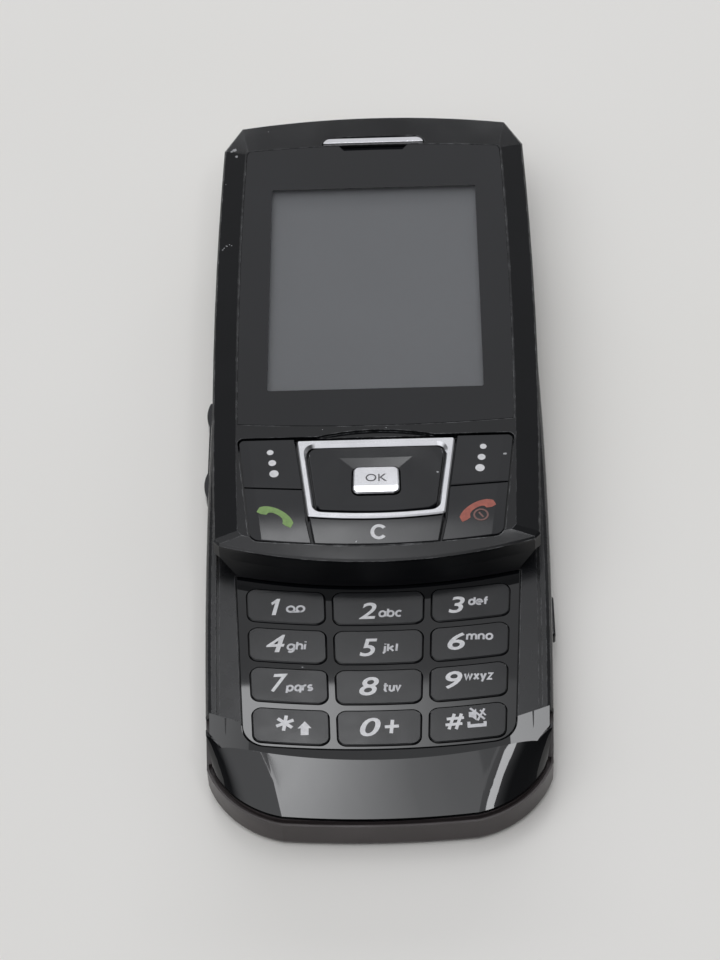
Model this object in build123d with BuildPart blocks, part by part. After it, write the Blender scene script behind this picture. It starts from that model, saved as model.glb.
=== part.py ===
from build123d import *
import os
from math import atan2, degrees, hypot, radians, sqrt, tan

# Slider phone, modelled open. Millimetres: +X to the right of the screen, +Y towards the
# earpiece, +Z out of the screen. The phone lies on its back on z = 0, and the origin is
# under the middle of the open phone.

os.makedirs("parts", exist_ok=True)

# ---------------------------------------------------------------- driving dimensions
BASE_LENGTH = 103.5     # closed phone, end to end
BASE_WIDTH = 51.0       # across the widest place of the keypad half
THICKNESS = 12.9        # back to screen
TRAVEL = 32.0           # how far the screen half slides
CHIN_LENGTH = 8.05      # ridge of the chin to the phone's lower end
SIDE_BOW = 1050.0       # radius of the long sides, which bow out gently
WIDEST_UP = 64.0        # widest place above the lower end
SLIDE_INSET = 0.42      # screen half is narrower than the keypad half, each side

# plan of the upper end, the same on both halves
TOP_ARC = 126.0
TOP_HALF = 21.8         # half width of the bowed top edge
BEVEL_DROP = 5.35       # corner bevel, measured down the side

# levels of the keypad half
SPLIT_Z = 5.0           # parting line of the keypad half
BASE_HEIGHT = 6.9       # top of its side rails
PANEL_PROUD = 0.1
KEY_PROUD = 0.2
RUN_GAP = 0.25          # keys to the underside of the screen half
RIDGE_Z = 9.4
COVER_THICK = 1.05      # battery cover
HOUSING_WALL = 1.3
FLOOR = 1.2

# lower end of the keypad half
END_HALF = 13.5         # half width of its nearly straight middle
END_SAG = 0.6
END_CORNER_RISE = 10.0
END_CORNER_ARC = 14.5
CHIN_FOOT_Z = 5.6       # lower edge of the glossy face
CHIN_FOOT_INSET = 0.9
CREASE_HALF = 15.5      # facet creases of the chin at the ridge
CHIN_STEP = 5.8         # shoulder of the chin, measured up from the ridge
CHIN_FLOOR_Z = 7.15

# screen half
SLIDE_SPLIT_Z = 9.8
EDGE_Z = 12.0           # outer edge of the sloping border
EDGE_CHAMFER = 0.25
FLAT_BORDER = 3.6       # width of the sloping border along the sides
FLAT_TOP_DROP = 7.4     # and at the earpiece end
FLAT_END_RISE = 1.85    # and at the lower end
END_ARC = 76.0          # lower edge in plan
FOOT_ARC = 90.0         # foot of the end wall in plan
END_TILT = 14.0         # end wall leans out towards its foot, degrees
END_GAP = 0.3           # to the chin when closed
FOOT_HALF = 20.5
BOAT_HALF = 22.4        # half width of the underside
BOAT_RISE = 5.0
SLIDE_WALL = 1.3
SLIDE_FLOOR = 0.8
POCKET_Z = 11.7         # floor under the navigation keys
ROOF_Z = 11.2           # inside of the front cover

# display
SCREEN_WIDTH = 33.05
SCREEN_HEIGHT = 44.06
SCREEN_DOWN = 17.04     # upper edge of the picture below the earpiece end
WINDOW_THICK = 0.9
WINDOW_UP = 25.25       # lower edge of the window above the screen half's lower end

# number keys
KEY_ROWS = [["key_1", "key_2", "key_3"], ["key_4", "key_5", "key_6"],
            ["key_7", "key_8", "key_9"], ["key_star", "key_0", "key_hash"]]
ROW_PITCH = 7.0
KEY_HEIGHT = 5.85
ROW_ARC = 136.0
LAST_ROW_UP = 12.05     # foot of the last row above the lower end
KEYPAD_HALF = 17.5      # half width at the foot of the last row
KEYPAD_FLARE = 0.06     # widening per millimetre upwards
MIDDLE_HALF = 5.75
MIDDLE_FLARE = 0.034
COLUMN_GAP = 1.15
KEY_CORNER = 1.3
KEY_EDGE = 0.15
KEY_GAP = 0.15
KEY_TRAVEL = 0.3
PANEL_THICK = 0.8
PANEL_SIDE = 1.5
PANEL_FOOT = 0.65
PANEL_CORNER = 3.8
PANEL_LEDGE = 0.45
PANEL_HEAD = 3.66       # panel runs on past the first row, under the screen half
RAIL_AFTER_PANEL = 0.5

# navigation cluster, measured from the lower edge of the screen half
NAV_LOW = 2.15
NAV_HIGH = 23.2
NAV_HALF = 18.45
NAV_FLARE = 0.114
NAV_ARC = 115.0
NAV_CORNER = 1.9
RING_HIGH = 22.55
RING_LOW = 7.3
RING_HALF_HIGH = 11.86
RING_HALF_LOW = 10.0
RING_ARC = 77.0
RING_BAR = 1.25
RING_CORNER = 1.2        # inside, and of the key in it
RING_OUTER_CORNER = 0.4
CLEAR_HALF = 8.9        # half width of the clear key at its foot
CLEAR_FLARE = 0.165
DIVIDER_UP = 12.45
DIVIDER_SLOPE = 0.067
OK_WIDTH = 6.9
OK_HEIGHT = 5.1
OK_UP = 14.55
CAP_TOP = 12.75
CAP_THICK = 0.7
NAV_GAP = 0.28
CLEAR_GAP = 0.42
CAP_CREASE = (16.5, 2.7)  # where the outer part of a cap bends down, at its foot, and how far it leans out
CAP_FALL = 5.0            # degrees
STEM = 2.4

# slide rail
RAIL_HALF = 15.0
RAIL_THICK = 0.4
RAIL_POCKET = 0.55
GROOVE_DEPTH = 1.4
LIP_REACH = 1.25
RAIL_RUN_GAP = 0.25
CARRIAGE_THICK = 0.45
STOP_GAP = 0.3

# inside
BOARD_THICK = 0.6
BATTERY = (35.0, 37.0, 3.2)
COVER_LOW_UP = 37.75    # lower edge of the battery cover above the lower end
SIDE_KEY_Z = 3.3
SIDE_KEY_HEIGHT = 2.6
VOLUME_LENGTH = 20.5
VOLUME_UP = 69.3
CAMERA_KEY_LENGTH = 7.3
CAMERA_KEY_UP = 36.1
FLAP_LENGTH = 13.0
FLAP_UP = 80.6
FIT = 0.12              # plain assembly clearance

# ---------------------------------------------------------------- places worked out
OPEN_LENGTH = BASE_LENGTH + TRAVEL
BASE_END = -OPEN_LENGTH / 2
BASE_TOP = BASE_END + BASE_LENGTH
SLIDE_TOP = OPEN_LENGTH / 2
RIDGE_Y = BASE_END + CHIN_LENGTH
BASE_HALF = BASE_WIDTH / 2
SLIDE_HALF = BASE_HALF - SLIDE_INSET
WIDEST_Y = BASE_END + WIDEST_UP
SLIDE_WIDEST_Y = WIDEST_Y + TRAVEL
PANEL_TOP = BASE_HEIGHT + PANEL_PROUD
KEY_TOP = PANEL_TOP + KEY_PROUD
SLIDE_BACK = KEY_TOP + RUN_GAP
PANEL_Z = PANEL_TOP - PANEL_THICK
BOARD_Z = SPLIT_Z
DOME_FILM_Z = BOARD_Z + BOARD_THICK
LAST_ROW_Y = BASE_END + LAST_ROW_UP
PANEL_HIGH = LAST_ROW_Y + (len(KEY_ROWS) - 1) * ROW_PITCH + KEY_HEIGHT + PANEL_HEAD
FLAT_TOP = SLIDE_TOP - FLAT_TOP_DROP


def end_wall_y(z):
    """Where the leaning lower end of the screen half stands at a level."""
    closed_gap_y = RIDGE_Y + TRAVEL + END_GAP
    return closed_gap_y + (z - RIDGE_Z) * tan(radians(END_TILT))


SLIDE_END = end_wall_y(EDGE_Z)
SLIDE_FOOT = end_wall_y(SLIDE_BACK)


def drop(radius, x):
    """How far an arc has fallen away from its highest point at x."""
    return radius - sqrt(radius**2 - x**2)


def side_x(y, half_width, widest_y):
    """Half width of the bowed side at y."""
    return half_width - drop(SIDE_BOW, y - widest_y)


def outward_arc(start, end, radius):
    """Arc between two points that bulges away from the phone's middle line."""
    dx, dy = end[0] - start[0], end[1] - start[1]
    chord = hypot(dx, dy)
    middle_x, middle_y = (start[0] + end[0]) / 2, (start[1] + end[1]) / 2
    out = 1 if dy * middle_x > 0 else -1
    sag = drop(radius, chord / 2)
    return ThreePointArc(start, (middle_x + out * sag * dy / chord, middle_y - out * sag * dx / chord), end)


def slide_outline(end_y, half_width=SLIDE_HALF, top=SLIDE_TOP, top_half=TOP_HALF, top_arc=TOP_ARC,
                  bevel=BEVEL_DROP, end_arc=END_ARC, foot_half=23.0, corner_rise=0.9):
    """Plan of the screen half: bowed sides, bevelled top corners and a curved lower end."""
    foot = (foot_half, end_y + drop(end_arc, foot_half))
    low = (side_x(foot[1] + corner_rise, half_width, SLIDE_WIDEST_Y), foot[1] + corner_rise)
    corner = (top_half, top - drop(top_arc, top_half))
    high = (side_x(corner[1] - bevel, half_width, SLIDE_WIDEST_Y), corner[1] - bevel)
    with BuildSketch() as plan:
        with BuildLine():
            ThreePointArc((-foot[0], foot[1]), (0, end_y), foot)
            ThreePointArc(corner, (0, top), (-corner[0], corner[1]))
            for side in (1, -1):
                Line((side * foot[0], foot[1]), (side * low[0], low[1]))
                outward_arc((side * low[0], low[1]), (side * high[0], high[1]), SIDE_BOW)
                Line((side * high[0], high[1]), (side * corner[0], corner[1]))
        make_face()
    return plan.sketch


def rim_outline(z, inset=0.0):
    """The screen half's outer edge at a level of its upright walls."""
    return slide_outline(end_wall_y(z) + inset, half_width=SLIDE_HALF - inset, top=SLIDE_TOP - inset,
                         top_half=TOP_HALF - inset / 2, foot_half=23.0 - inset / 2)


def flat_outline(inset=0.0):
    """The flat part of the screen side, inside its sloping borders."""
    return slide_outline(SLIDE_END + FLAT_END_RISE + inset, half_width=SLIDE_HALF - FLAT_BORDER - inset,
                         top=FLAT_TOP - inset, top_half=20.7 - inset, top_arc=228.0, bevel=0.8,
                         end_arc=END_ARC - FLAT_END_RISE, foot_half=19.6 - inset, corner_rise=0.9)


def boat_outline(inset=0.0):
    """The narrower underside of the screen half."""
    return slide_outline(SLIDE_FOOT + inset, half_width=BOAT_HALF - inset, top=SLIDE_TOP - 0.8 - inset,
                         top_half=TOP_HALF - 2.6 - inset / 2, end_arc=FOOT_ARC,
                         foot_half=FOOT_HALF - inset / 2, corner_rise=BOAT_RISE)


def base_outline(inset=0.0):
    """Plan of the keypad half, with its nearly straight lower end between round corners."""
    corner = (TOP_HALF, BASE_TOP - drop(TOP_ARC, TOP_HALF))
    high = (side_x(corner[1] - BEVEL_DROP, BASE_HALF, WIDEST_Y), corner[1] - BEVEL_DROP)
    low_y = BASE_END + END_CORNER_RISE
    low = (side_x(low_y, BASE_HALF, WIDEST_Y), low_y)
    end = (END_HALF, BASE_END + END_SAG)
    with BuildSketch() as plan:
        with BuildLine():
            ThreePointArc((-end[0], end[1]), (0, BASE_END), end)
            ThreePointArc(corner, (0, BASE_TOP), (-corner[0], corner[1]))
            for side in (1, -1):
                outward_arc((side * end[0], end[1]), (side * low[0], low[1]), END_CORNER_ARC)
                outward_arc((side * low[0], low[1]), (side * high[0], high[1]), SIDE_BOW)
                Line((side * high[0], high[1]), (side * corner[0], corner[1]))
        make_face()
        if inset:
            offset(amount=-inset, kind=Kind.INTERSECTION, mode=Mode.REPLACE)
    return plan.sketch


def chin_outline(end_y, end_arc, crease_half, corner_y, corner_arc, inset):
    """Plan of the chin at one level, closed off well above its shoulders."""
    crease = (crease_half, end_y + drop(end_arc, crease_half))
    low = (side_x(corner_y, BASE_HALF, WIDEST_Y) - inset, corner_y)
    high_y = RIDGE_Y + 3 * CHIN_STEP
    high = (side_x(high_y, BASE_HALF, WIDEST_Y) - inset, high_y)
    with BuildSketch() as plan:
        with BuildLine():
            ThreePointArc((-crease[0], crease[1]), (0, end_y), crease)
            Line(high, (-high[0], high[1]))
            for side in (1, -1):
                outward_arc((side * crease[0], crease[1]), (side * low[0], low[1]), corner_arc)
                outward_arc((side * low[0], low[1]), (side * high[0], high[1]), SIDE_BOW)
        make_face()
    return plan.sketch


def keypad_half(y, inset=0.0):
    """Half width of the block of number keys at y."""
    return KEYPAD_HALF + KEYPAD_FLARE * (y - LAST_ROW_Y) - inset


def panel_outline(grow=0.0):
    """Plan of the glossy frame plate round the number keys."""
    low = LAST_ROW_Y - PANEL_FOOT - grow
    high = PANEL_HIGH + grow
    side = PANEL_SIDE + grow
    with BuildSketch() as plan:
        Polygon((keypad_half(low) + side, low), (keypad_half(high) + side, high),
                (-keypad_half(high) - side, high), (-keypad_half(low) - side, low), align=None)
        with Locations((0, low + ROW_ARC)):
            Circle(ROW_ARC, mode=Mode.INTERSECT)
        fillet(plan.vertices().group_by(Axis.Y)[0], PANEL_CORNER)
    return plan.sketch


def key_outline(row, column, grow=0.0):
    """Plan of one number key: its sides follow the columns and its ends the bowed rows."""
    foot = LAST_ROW_Y + (len(KEY_ROWS) - 1 - row) * ROW_PITCH
    reach = 2 * KEY_HEIGHT

    def middle(y):
        return MIDDLE_HALF + MIDDLE_FLARE * (y - LAST_ROW_Y)

    low, high = foot - reach, foot + reach
    with BuildSketch() as plan:
        if column == 1:
            Polygon((middle(low) + grow, low), (middle(high) + grow, high),
                    (-middle(high) - grow, high), (-middle(low) - grow, low), align=None)
        else:
            side = column - 1
            Polygon((side * (keypad_half(low) + grow), low), (side * (keypad_half(high) + grow), high),
                    (side * (middle(high) + COLUMN_GAP - grow), high),
                    (side * (middle(low) + COLUMN_GAP - grow), low), align=None)
        with Locations((0, foot - grow + ROW_ARC)):
            Circle(ROW_ARC, mode=Mode.INTERSECT)
        with Locations((0, foot + KEY_HEIGHT + grow + ROW_ARC)):
            Circle(ROW_ARC, mode=Mode.SUBTRACT)
        fillet(plan.vertices(), KEY_CORNER + grow)
    return plan.sketch


# ---------------------------------------------------------------- keypad half: housings
COVER_LOW = BASE_END + COVER_LOW_UP
BAY_GAP = 0.25
BAY_LOW = COVER_LOW + 5.0
BAY_LENGTH = 52.0
BAY_WALL = 0.8
BAY_HALF = BATTERY[0] / 2 + BAY_GAP
BAY_ROOF = 0.55
SHELF_Z = 1.9
SEAM_LIP = 0.3
SCREW_HEAD = 1.5
SCREW_SHANK = 0.8
SCREW_SINK = 0.3
LOW_SCREW = (17.0, BASE_END + 8.0)
HIGH_SCREW = (20.6, BASE_TOP - 7.6)
SCREW_PLACES = [(side * x, y) for x, y in (LOW_SCREW, HIGH_SCREW) for side in (-1, 1)]
VOLUME_Y = BASE_END + VOLUME_UP
CAMERA_KEY_Y = BASE_END + CAMERA_KEY_UP
FLAP_Y = BASE_END + FLAP_UP
FLAP_THICK = 0.7
FLAP_HEIGHT = 2.7
FLAP_ROLL = (FLAP_THICK - 0.03) / 2
FLAP_HINGE_Y = FLAP_Y - FLAP_LENGTH / 2 + FLAP_ROLL
SOCKET_WIDTH = 10.6
SOCKET_HEIGHT = 1.9
BASE_SIDE_X = side_x(FLAP_Y, BASE_HALF, WIDEST_Y)
VOLUME_X = -side_x(VOLUME_Y, BASE_HALF, WIDEST_Y)
CAMERA_KEY_X = side_x(CAMERA_KEY_Y, BASE_HALF, WIDEST_Y)


def base_form(levels):
    """Solid through plans of the keypad half, each given by its level and its inset."""
    with BuildPart() as form:
        for z, inset in levels:
            with BuildSketch(Plane.XY.offset(z)):
                add(base_outline(inset))
        loft(ruled=True)
    return form.part


# the whole back, before the battery cover is parted from it
BACK_EDGE = [(0, 0.95), (0.2, 0.5), (0.6, 0.15), (COVER_THICK, 0), (SPLIT_Z, 0)]
TOP_EDGE = [(SPLIT_Z, 0), (BASE_HEIGHT - 1.1, 0), (BASE_HEIGHT - 0.6, 0.12), (BASE_HEIGHT - 0.22, 0.42),
            (BASE_HEIGHT, 0.9)]

with BuildPart() as rear_housing:
    add(base_form(BACK_EDGE))
    # cavity: deep beside the keypad, shallower over the battery cover
    with BuildSketch(Plane.XY.offset(FLOOR)):
        add(base_outline(HOUSING_WALL))
        with Locations((0, COVER_LOW - BASE_LENGTH / 2 - 1.0)):
            Rectangle(2 * BASE_WIDTH, BASE_LENGTH, mode=Mode.INTERSECT)
    extrude(amount=SPLIT_Z - FLOOR, mode=Mode.SUBTRACT)
    with BuildSketch(Plane.XY.offset(SHELF_Z)):
        add(base_outline(HOUSING_WALL))
    extrude(amount=SPLIT_Z - SHELF_Z, mode=Mode.SUBTRACT)
    # seat of the battery cover, open at the top end so that the cover slides off
    with Locations((0, COVER_LOW + BASE_LENGTH / 2, 0)):
        Box(2 * BASE_WIDTH, BASE_LENGTH, 2 * COVER_THICK, mode=Mode.SUBTRACT)
    # battery bay: a box with its roof against the board, open to the back
    with BuildSketch(Plane.XY.offset(COVER_THICK)):
        with Locations((0, BAY_LOW + BAY_LENGTH / 2)):
            Rectangle(2 * (BAY_HALF + BAY_WALL), BAY_LENGTH + 2 * BAY_WALL)
    extrude(amount=SPLIT_Z - COVER_THICK)
    with BuildSketch(Plane.XY.offset(COVER_THICK)):
        with Locations((0, BAY_LOW + BAY_LENGTH / 2)):
            Rectangle(2 * BAY_HALF, BAY_LENGTH)
    extrude(amount=SPLIT_Z - BAY_ROOF - COVER_THICK, mode=Mode.SUBTRACT)
    # screw bosses with sunk heads
    with BuildSketch(Plane.XY.offset(FLOOR)):
        with Locations(*SCREW_PLACES):
            Circle(SCREW_HEAD + 0.9)
    extrude(amount=SPLIT_Z - FLOOR)
    with BuildSketch(Plane.XY.offset(SPLIT_Z)):
        with Locations(*SCREW_PLACES):
            Circle(SCREW_SHANK + FIT / 2)
    extrude(amount=-SPLIT_Z, mode=Mode.SUBTRACT)
    with BuildSketch():
        with Locations(*SCREW_PLACES[:2]):
            Circle(SCREW_HEAD + FIT)
    extrude(amount=SCREW_SINK + 1.0, mode=Mode.SUBTRACT)
    with BuildSketch(Plane.XY.offset(COVER_THICK)):
        with Locations(*SCREW_PLACES[2:]):
            Circle(SCREW_HEAD + FIT)
    extrude(amount=SCREW_SINK + 1.0, mode=Mode.SUBTRACT)
    # dark seam under the chin: a groove that leaves a thin outer lip
    with BuildSketch(Plane.XY.offset(SPLIT_Z)):
        add(base_outline(SEAM_LIP))
        add(base_outline(CHIN_FOOT_INSET), mode=Mode.SUBTRACT)
        with Locations((0, RIDGE_Y + CHIN_STEP / 2 - BASE_LENGTH / 2)):
            Rectangle(2 * BASE_WIDTH, BASE_LENGTH, mode=Mode.INTERSECT)
    extrude(amount=-0.7, mode=Mode.SUBTRACT)
    # openings for the side keys and the socket, and the recess of its flap
    with Locations((VOLUME_X, VOLUME_Y, SIDE_KEY_Z)):
        Box(4 * HOUSING_WALL, VOLUME_LENGTH + 4 * FIT, SIDE_KEY_HEIGHT + 2 * FIT, mode=Mode.SUBTRACT)
    with Locations((CAMERA_KEY_X, CAMERA_KEY_Y, SIDE_KEY_Z)):
        Box(4 * HOUSING_WALL, CAMERA_KEY_LENGTH + 2 * FIT, SIDE_KEY_HEIGHT + 2 * FIT, mode=Mode.SUBTRACT)
    with Locations((BASE_SIDE_X + 1.0, FLAP_Y, SIDE_KEY_Z)):
        Box(2.0 + 2 * (FLAP_THICK + 0.25), FLAP_LENGTH + 2 * FIT, FLAP_HEIGHT + 2 * FIT, mode=Mode.SUBTRACT)
    with Locations((BASE_SIDE_X, FLAP_Y, SIDE_KEY_Z)):
        Box(4 * HOUSING_WALL, SOCKET_WIDTH + 2 * FIT, SOCKET_HEIGHT + 2 * FIT, mode=Mode.SUBTRACT)
    # slots in front of the loudspeaker
    with BuildSketch():
        with Locations((-9.5, BASE_END + 25.0)):
            with GridLocations(0, 1.8, 1, 3):
                SlotOverall(8.0, 0.9)
    extrude(amount=FLOOR, mode=Mode.SUBTRACT)
    # slots that the battery contacts stand in
    with Locations((0, BAY_LOW, 2.9)):
        with GridLocations(4.0, 0, 3, 1):
            Box(1.4 + 2 * FIT, 4 * BAY_WALL, 1.6 + 2 * FIT, mode=Mode.SUBTRACT)
rear_housing.part.label = "rear_housing"
export_step(rear_housing.part, "parts/rear_housing.step")

with BuildPart() as battery_cover:
    add(base_form(BACK_EDGE))
    with BuildSketch():
        with Locations((0, COVER_LOW + FIT + BASE_LENGTH / 2)):
            Rectangle(2 * BASE_WIDTH, BASE_LENGTH)
    extrude(amount=COVER_THICK, mode=Mode.INTERSECT)
    # thumb ridges
    with BuildSketch():
        with Locations((0, BASE_TOP - 10.0)):
            with GridLocations(0, 2.0, 1, 4):
                SlotOverall(16.0, 0.8)
    extrude(amount=0.35, mode=Mode.SUBTRACT)
battery_cover.part.label = "battery_cover"
export_step(battery_cover.part, "parts/battery_cover.step")

# what the number keys stand in, cut from the front housing and from the chin
with BuildPart() as keypad_seat:
    with BuildSketch(Plane.XY.offset(PANEL_Z)):
        add(panel_outline(FIT))
    extrude(amount=RIDGE_Z - PANEL_Z)
    with BuildSketch(Plane.XY.offset(BOARD_Z)):
        add(panel_outline(-PANEL_LEDGE))
    extrude(amount=PANEL_Z - BOARD_Z)
    with BuildSketch(Plane.XY.offset(BOARD_Z)):
        add(panel_outline())
    extrude(amount=BOARD_THICK + 0.15)

STEP_ARC = END_ARC - CHIN_STEP
ARC_CENTRE = RIDGE_Y + END_ARC
RAIL_LOW = PANEL_HIGH + RAIL_AFTER_PANEL
RAIL_HIGH = BASE_TOP - 2.3
RAIL_LENGTH = RAIL_HIGH - RAIL_LOW
RAIL_Z = BASE_HEIGHT - RAIL_POCKET
GROOVE_IN = RAIL_HALF - LIP_REACH
GROOVE_OUT = RAIL_HALF + 1.2
RAIL_SCREWS = [(side * 10.5, y) for y in (RAIL_LOW + 4.0, RAIL_HIGH - 4.0) for side in (-1, 1)]
STRIP_HALF = 12.5
FLEX_WIDTH = 6.0
FLEX_PLACE = (0, RAIL_LOW + 2.1)
STRIP_Z = 6.98           # strip between ridge and panel, at the panel
STRIP_SLOPE = 0.06
WING_IN = 18.2           # where the shoulders widen
WING_Z = 6.93
WING_SLOPE = 0.068
RAIL_LINE_IN = 1.6
RAIL_LINE = 0.45

with BuildPart() as front_housing:
    add(base_form(TOP_EDGE))
    # ends at the chin's shoulder
    with BuildSketch(Plane.XY.offset(SPLIT_Z)):
        with Locations((0, BASE_END)):
            Rectangle(2 * BASE_WIDTH, BASE_LENGTH)
        with Locations((0, ARC_CENTRE)):
            Circle(STEP_ARC - FIT, mode=Mode.SUBTRACT)
    extrude(amount=BASE_HEIGHT, mode=Mode.SUBTRACT)
    add(keypad_seat.part, mode=Mode.SUBTRACT)
    # room for the board between the rails
    with BuildSketch(Plane.XY.offset(SPLIT_Z)):
        with Locations((0, (RAIL_LOW - 4.0 + RAIL_HIGH - 1.5) / 2)):
            Rectangle(2 * (STRIP_HALF + 0.3), RAIL_LENGTH + 2.5)
    extrude(amount=BOARD_THICK + 0.15, mode=Mode.SUBTRACT)
    # pocket of the rail plate, and a groove under each of its edges
    with BuildSketch(Plane.XY.offset(RAIL_Z)):
        with Locations((0, (RAIL_LOW + RAIL_HIGH) / 2)):
            Rectangle(2 * GROOVE_OUT, RAIL_LENGTH + 2 * FIT)
    extrude(amount=RAIL_POCKET, mode=Mode.SUBTRACT)
    with BuildSketch(Plane.XY.offset(BASE_HEIGHT - GROOVE_DEPTH)):
        for side in (-1, 1):
            with Locations((side * (GROOVE_IN + GROOVE_OUT) / 2, (RAIL_LOW + RAIL_HIGH) / 2)):
                Rectangle(GROOVE_OUT - GROOVE_IN, RAIL_LENGTH + 2 * FIT)
    extrude(amount=GROOVE_DEPTH, mode=Mode.SUBTRACT)
    with BuildSketch(Plane.XY.offset(SPLIT_Z)):
        with Locations(*RAIL_SCREWS):
            Circle(0.6 + FIT / 2)
        with Locations(FLEX_PLACE):
            Rectangle(FLEX_WIDTH + 1.0, 1.2)
    extrude(amount=RAIL_Z - SPLIT_Z, mode=Mode.SUBTRACT)
    # fine groove beside the keypad, parallel to the outer edge
    with BuildSketch(Plane.XY.offset(BASE_HEIGHT)):
        add(base_outline(RAIL_LINE_IN))
        add(base_outline(RAIL_LINE_IN + RAIL_LINE), mode=Mode.SUBTRACT)
        with Locations((0, SLIDE_FOOT - BASE_LENGTH / 2 + 8.0)):
            Rectangle(2 * BASE_WIDTH, BASE_LENGTH, mode=Mode.INTERSECT)
    extrude(amount=-0.6, mode=Mode.SUBTRACT)
    # pilot holes for the two upper case screws
    with BuildSketch(Plane.XY.offset(SPLIT_Z)):
        with Locations(*SCREW_PLACES[2:]):
            Circle(SCREW_SHANK + FIT / 2)
    extrude(amount=1.3, mode=Mode.SUBTRACT)
front_housing.part.label = "front_housing"
export_step(front_housing.part, "parts/front_housing.step")

# what lies above the chin's shoulders: a strip that falls away from the ridge, and wings that rise outwards
with BuildPart() as over_shoulders:
    with BuildSketch(Plane.YZ) as strip_section:
        Polygon((RIDGE_Y - 1.0, STRIP_Z + 4.6 * STRIP_SLOPE), (RIDGE_Y + 4 * CHIN_STEP, STRIP_Z + (3.6 - 4 * CHIN_STEP) * STRIP_SLOPE),
                (RIDGE_Y + 4 * CHIN_STEP, RIDGE_Z + 1), (RIDGE_Y - 1.0, RIDGE_Z + 1), align=None)
    revolve(axis=Axis((0, ARC_CENTRE, 0), (0, 0, 1)), revolution_arc=360)
    with Locations((0, RIDGE_Y, RIDGE_Z)):
        Box(2 * WING_IN, 60.0, 10.0, mode=Mode.INTERSECT)
    with BuildSketch(Plane.XZ.offset(-RIDGE_Y + 2.0)):
        for side in (-1, 1):
            Polygon((side * WING_IN, WING_Z), (side * BASE_WIDTH, WING_Z + (BASE_WIDTH - WING_IN) * WING_SLOPE),
                    (side * BASE_WIDTH, RIDGE_Z + 10), (side * WING_IN, RIDGE_Z + 10), align=None)
    extrude(amount=-30.0)

with BuildPart() as chin_hollow:
    for z, arc in ((SPLIT_Z + 1.0, FOOT_ARC), (RIDGE_Z + 0.4, END_ARC)):
        with BuildSketch(Plane.XY.offset(z)):
            with Locations((0, -TRAVEL)):
                add(slide_outline(end_wall_y(z) - END_GAP, half_width=BASE_HALF + 1.0, end_arc=arc,
                                  foot_half=21.0, corner_rise=3.9))
    loft(ruled=True)
    add(over_shoulders.part, mode=Mode.INTERSECT)

# the closed screen half, which the chin gives way to
with BuildPart() as closed_slide:
    with BuildSketch(Plane.XY.offset(CHIN_FLOOR_Z)):
        with Locations((0, -TRAVEL)):
            add(slide_outline(end_wall_y(CHIN_FLOOR_Z) - END_GAP, half_width=BOAT_HALF + END_GAP,
                              end_arc=FOOT_ARC, foot_half=FOOT_HALF, corner_rise=BOAT_RISE))
    with BuildSketch(Plane.XY.offset(SLIDE_SPLIT_Z)):
        with Locations((0, -TRAVEL)):
            add(slide_outline(end_wall_y(SLIDE_SPLIT_Z) - END_GAP, half_width=SLIDE_HALF + END_GAP))
    loft(ruled=True)

with BuildPart() as chin_cover:
    # glossy face: facets from the ridge down to a foot set in from the back
    foot_y = BASE_END + CHIN_FOOT_INSET
    with BuildSketch(Plane.XY.offset(CHIN_FOOT_Z)):
        add(chin_outline(foot_y, END_HALF**2 / 1.5, END_HALF, BASE_END + END_CORNER_RISE - 0.3,
                         END_CORNER_ARC - 0.4, CHIN_FOOT_INSET))
    with BuildSketch(Plane.XY.offset(RIDGE_Z)):
        add(chin_outline(RIDGE_Y, END_ARC, CREASE_HALF, RIDGE_Y + 4.8, 22.0, 0.25))
    loft(ruled=True)
    with BuildSketch(Plane.XY.offset(SPLIT_Z)):
        add(chin_outline(foot_y, END_HALF**2 / 1.5, END_HALF, BASE_END + END_CORNER_RISE - 0.3,
                         END_CORNER_ARC - 0.4, CHIN_FOOT_INSET))
    extrude(amount=CHIN_FOOT_Z - SPLIT_Z)
    # parted from the front housing along the shoulder's foot
    with BuildSketch(Plane.XY.offset(SPLIT_Z)):
        with Locations((0, ARC_CENTRE)):
            Circle(STEP_ARC)
    extrude(amount=RIDGE_Z, mode=Mode.SUBTRACT)
    add(chin_hollow.part, mode=Mode.SUBTRACT)
    add(closed_slide.part, mode=Mode.SUBTRACT)
    add(keypad_seat.part, mode=Mode.SUBTRACT)
    with BuildSketch(Plane.XY.offset(SPLIT_Z)):
        with Locations(*SCREW_PLACES[:2]):
            Circle(SCREW_SHANK + FIT / 2)
    extrude(amount=1.3, mode=Mode.SUBTRACT)
chin_cover.part.label = "chin_cover"
export_step(chin_cover.part, "parts/chin_cover.step")

with BuildPart() as base_screws:
    for x, y in SCREW_PLACES:
        head_z = SCREW_SINK if y < 0 else COVER_THICK + SCREW_SINK
        with BuildSketch(Plane((x, y, head_z))):
            Circle(SCREW_HEAD)
        extrude(amount=1.0)
        with BuildSketch(Plane((x, y, head_z + 1.0))):
            Circle(SCREW_SHANK)
        extrude(amount=SPLIT_Z + 1.1 - head_z - 1.0)
base_screws.part.label = "base_screws"
export_step(base_screws.part, "parts/base_screws.step")

# ---------------------------------------------------------------- keypad half: keys
with BuildPart() as keypad_panel:
    with BuildSketch(Plane.XY.offset(PANEL_Z)):
        add(panel_outline())
    extrude(amount=PANEL_THICK)
    chamfer(keypad_panel.faces().sort_by(Axis.Z)[-1].outer_wire().edges(), length=KEY_EDGE)
    with BuildSketch(Plane.XY.offset(PANEL_Z)):
        for row in range(len(KEY_ROWS)):
            for column in range(3):
                add(key_outline(row, column, KEY_GAP))
    extrude(amount=PANEL_THICK, mode=Mode.SUBTRACT)
keypad_panel.part.label = "keypad_panel"
export_step(keypad_panel.part, "parts/keypad_panel.step")

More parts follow.
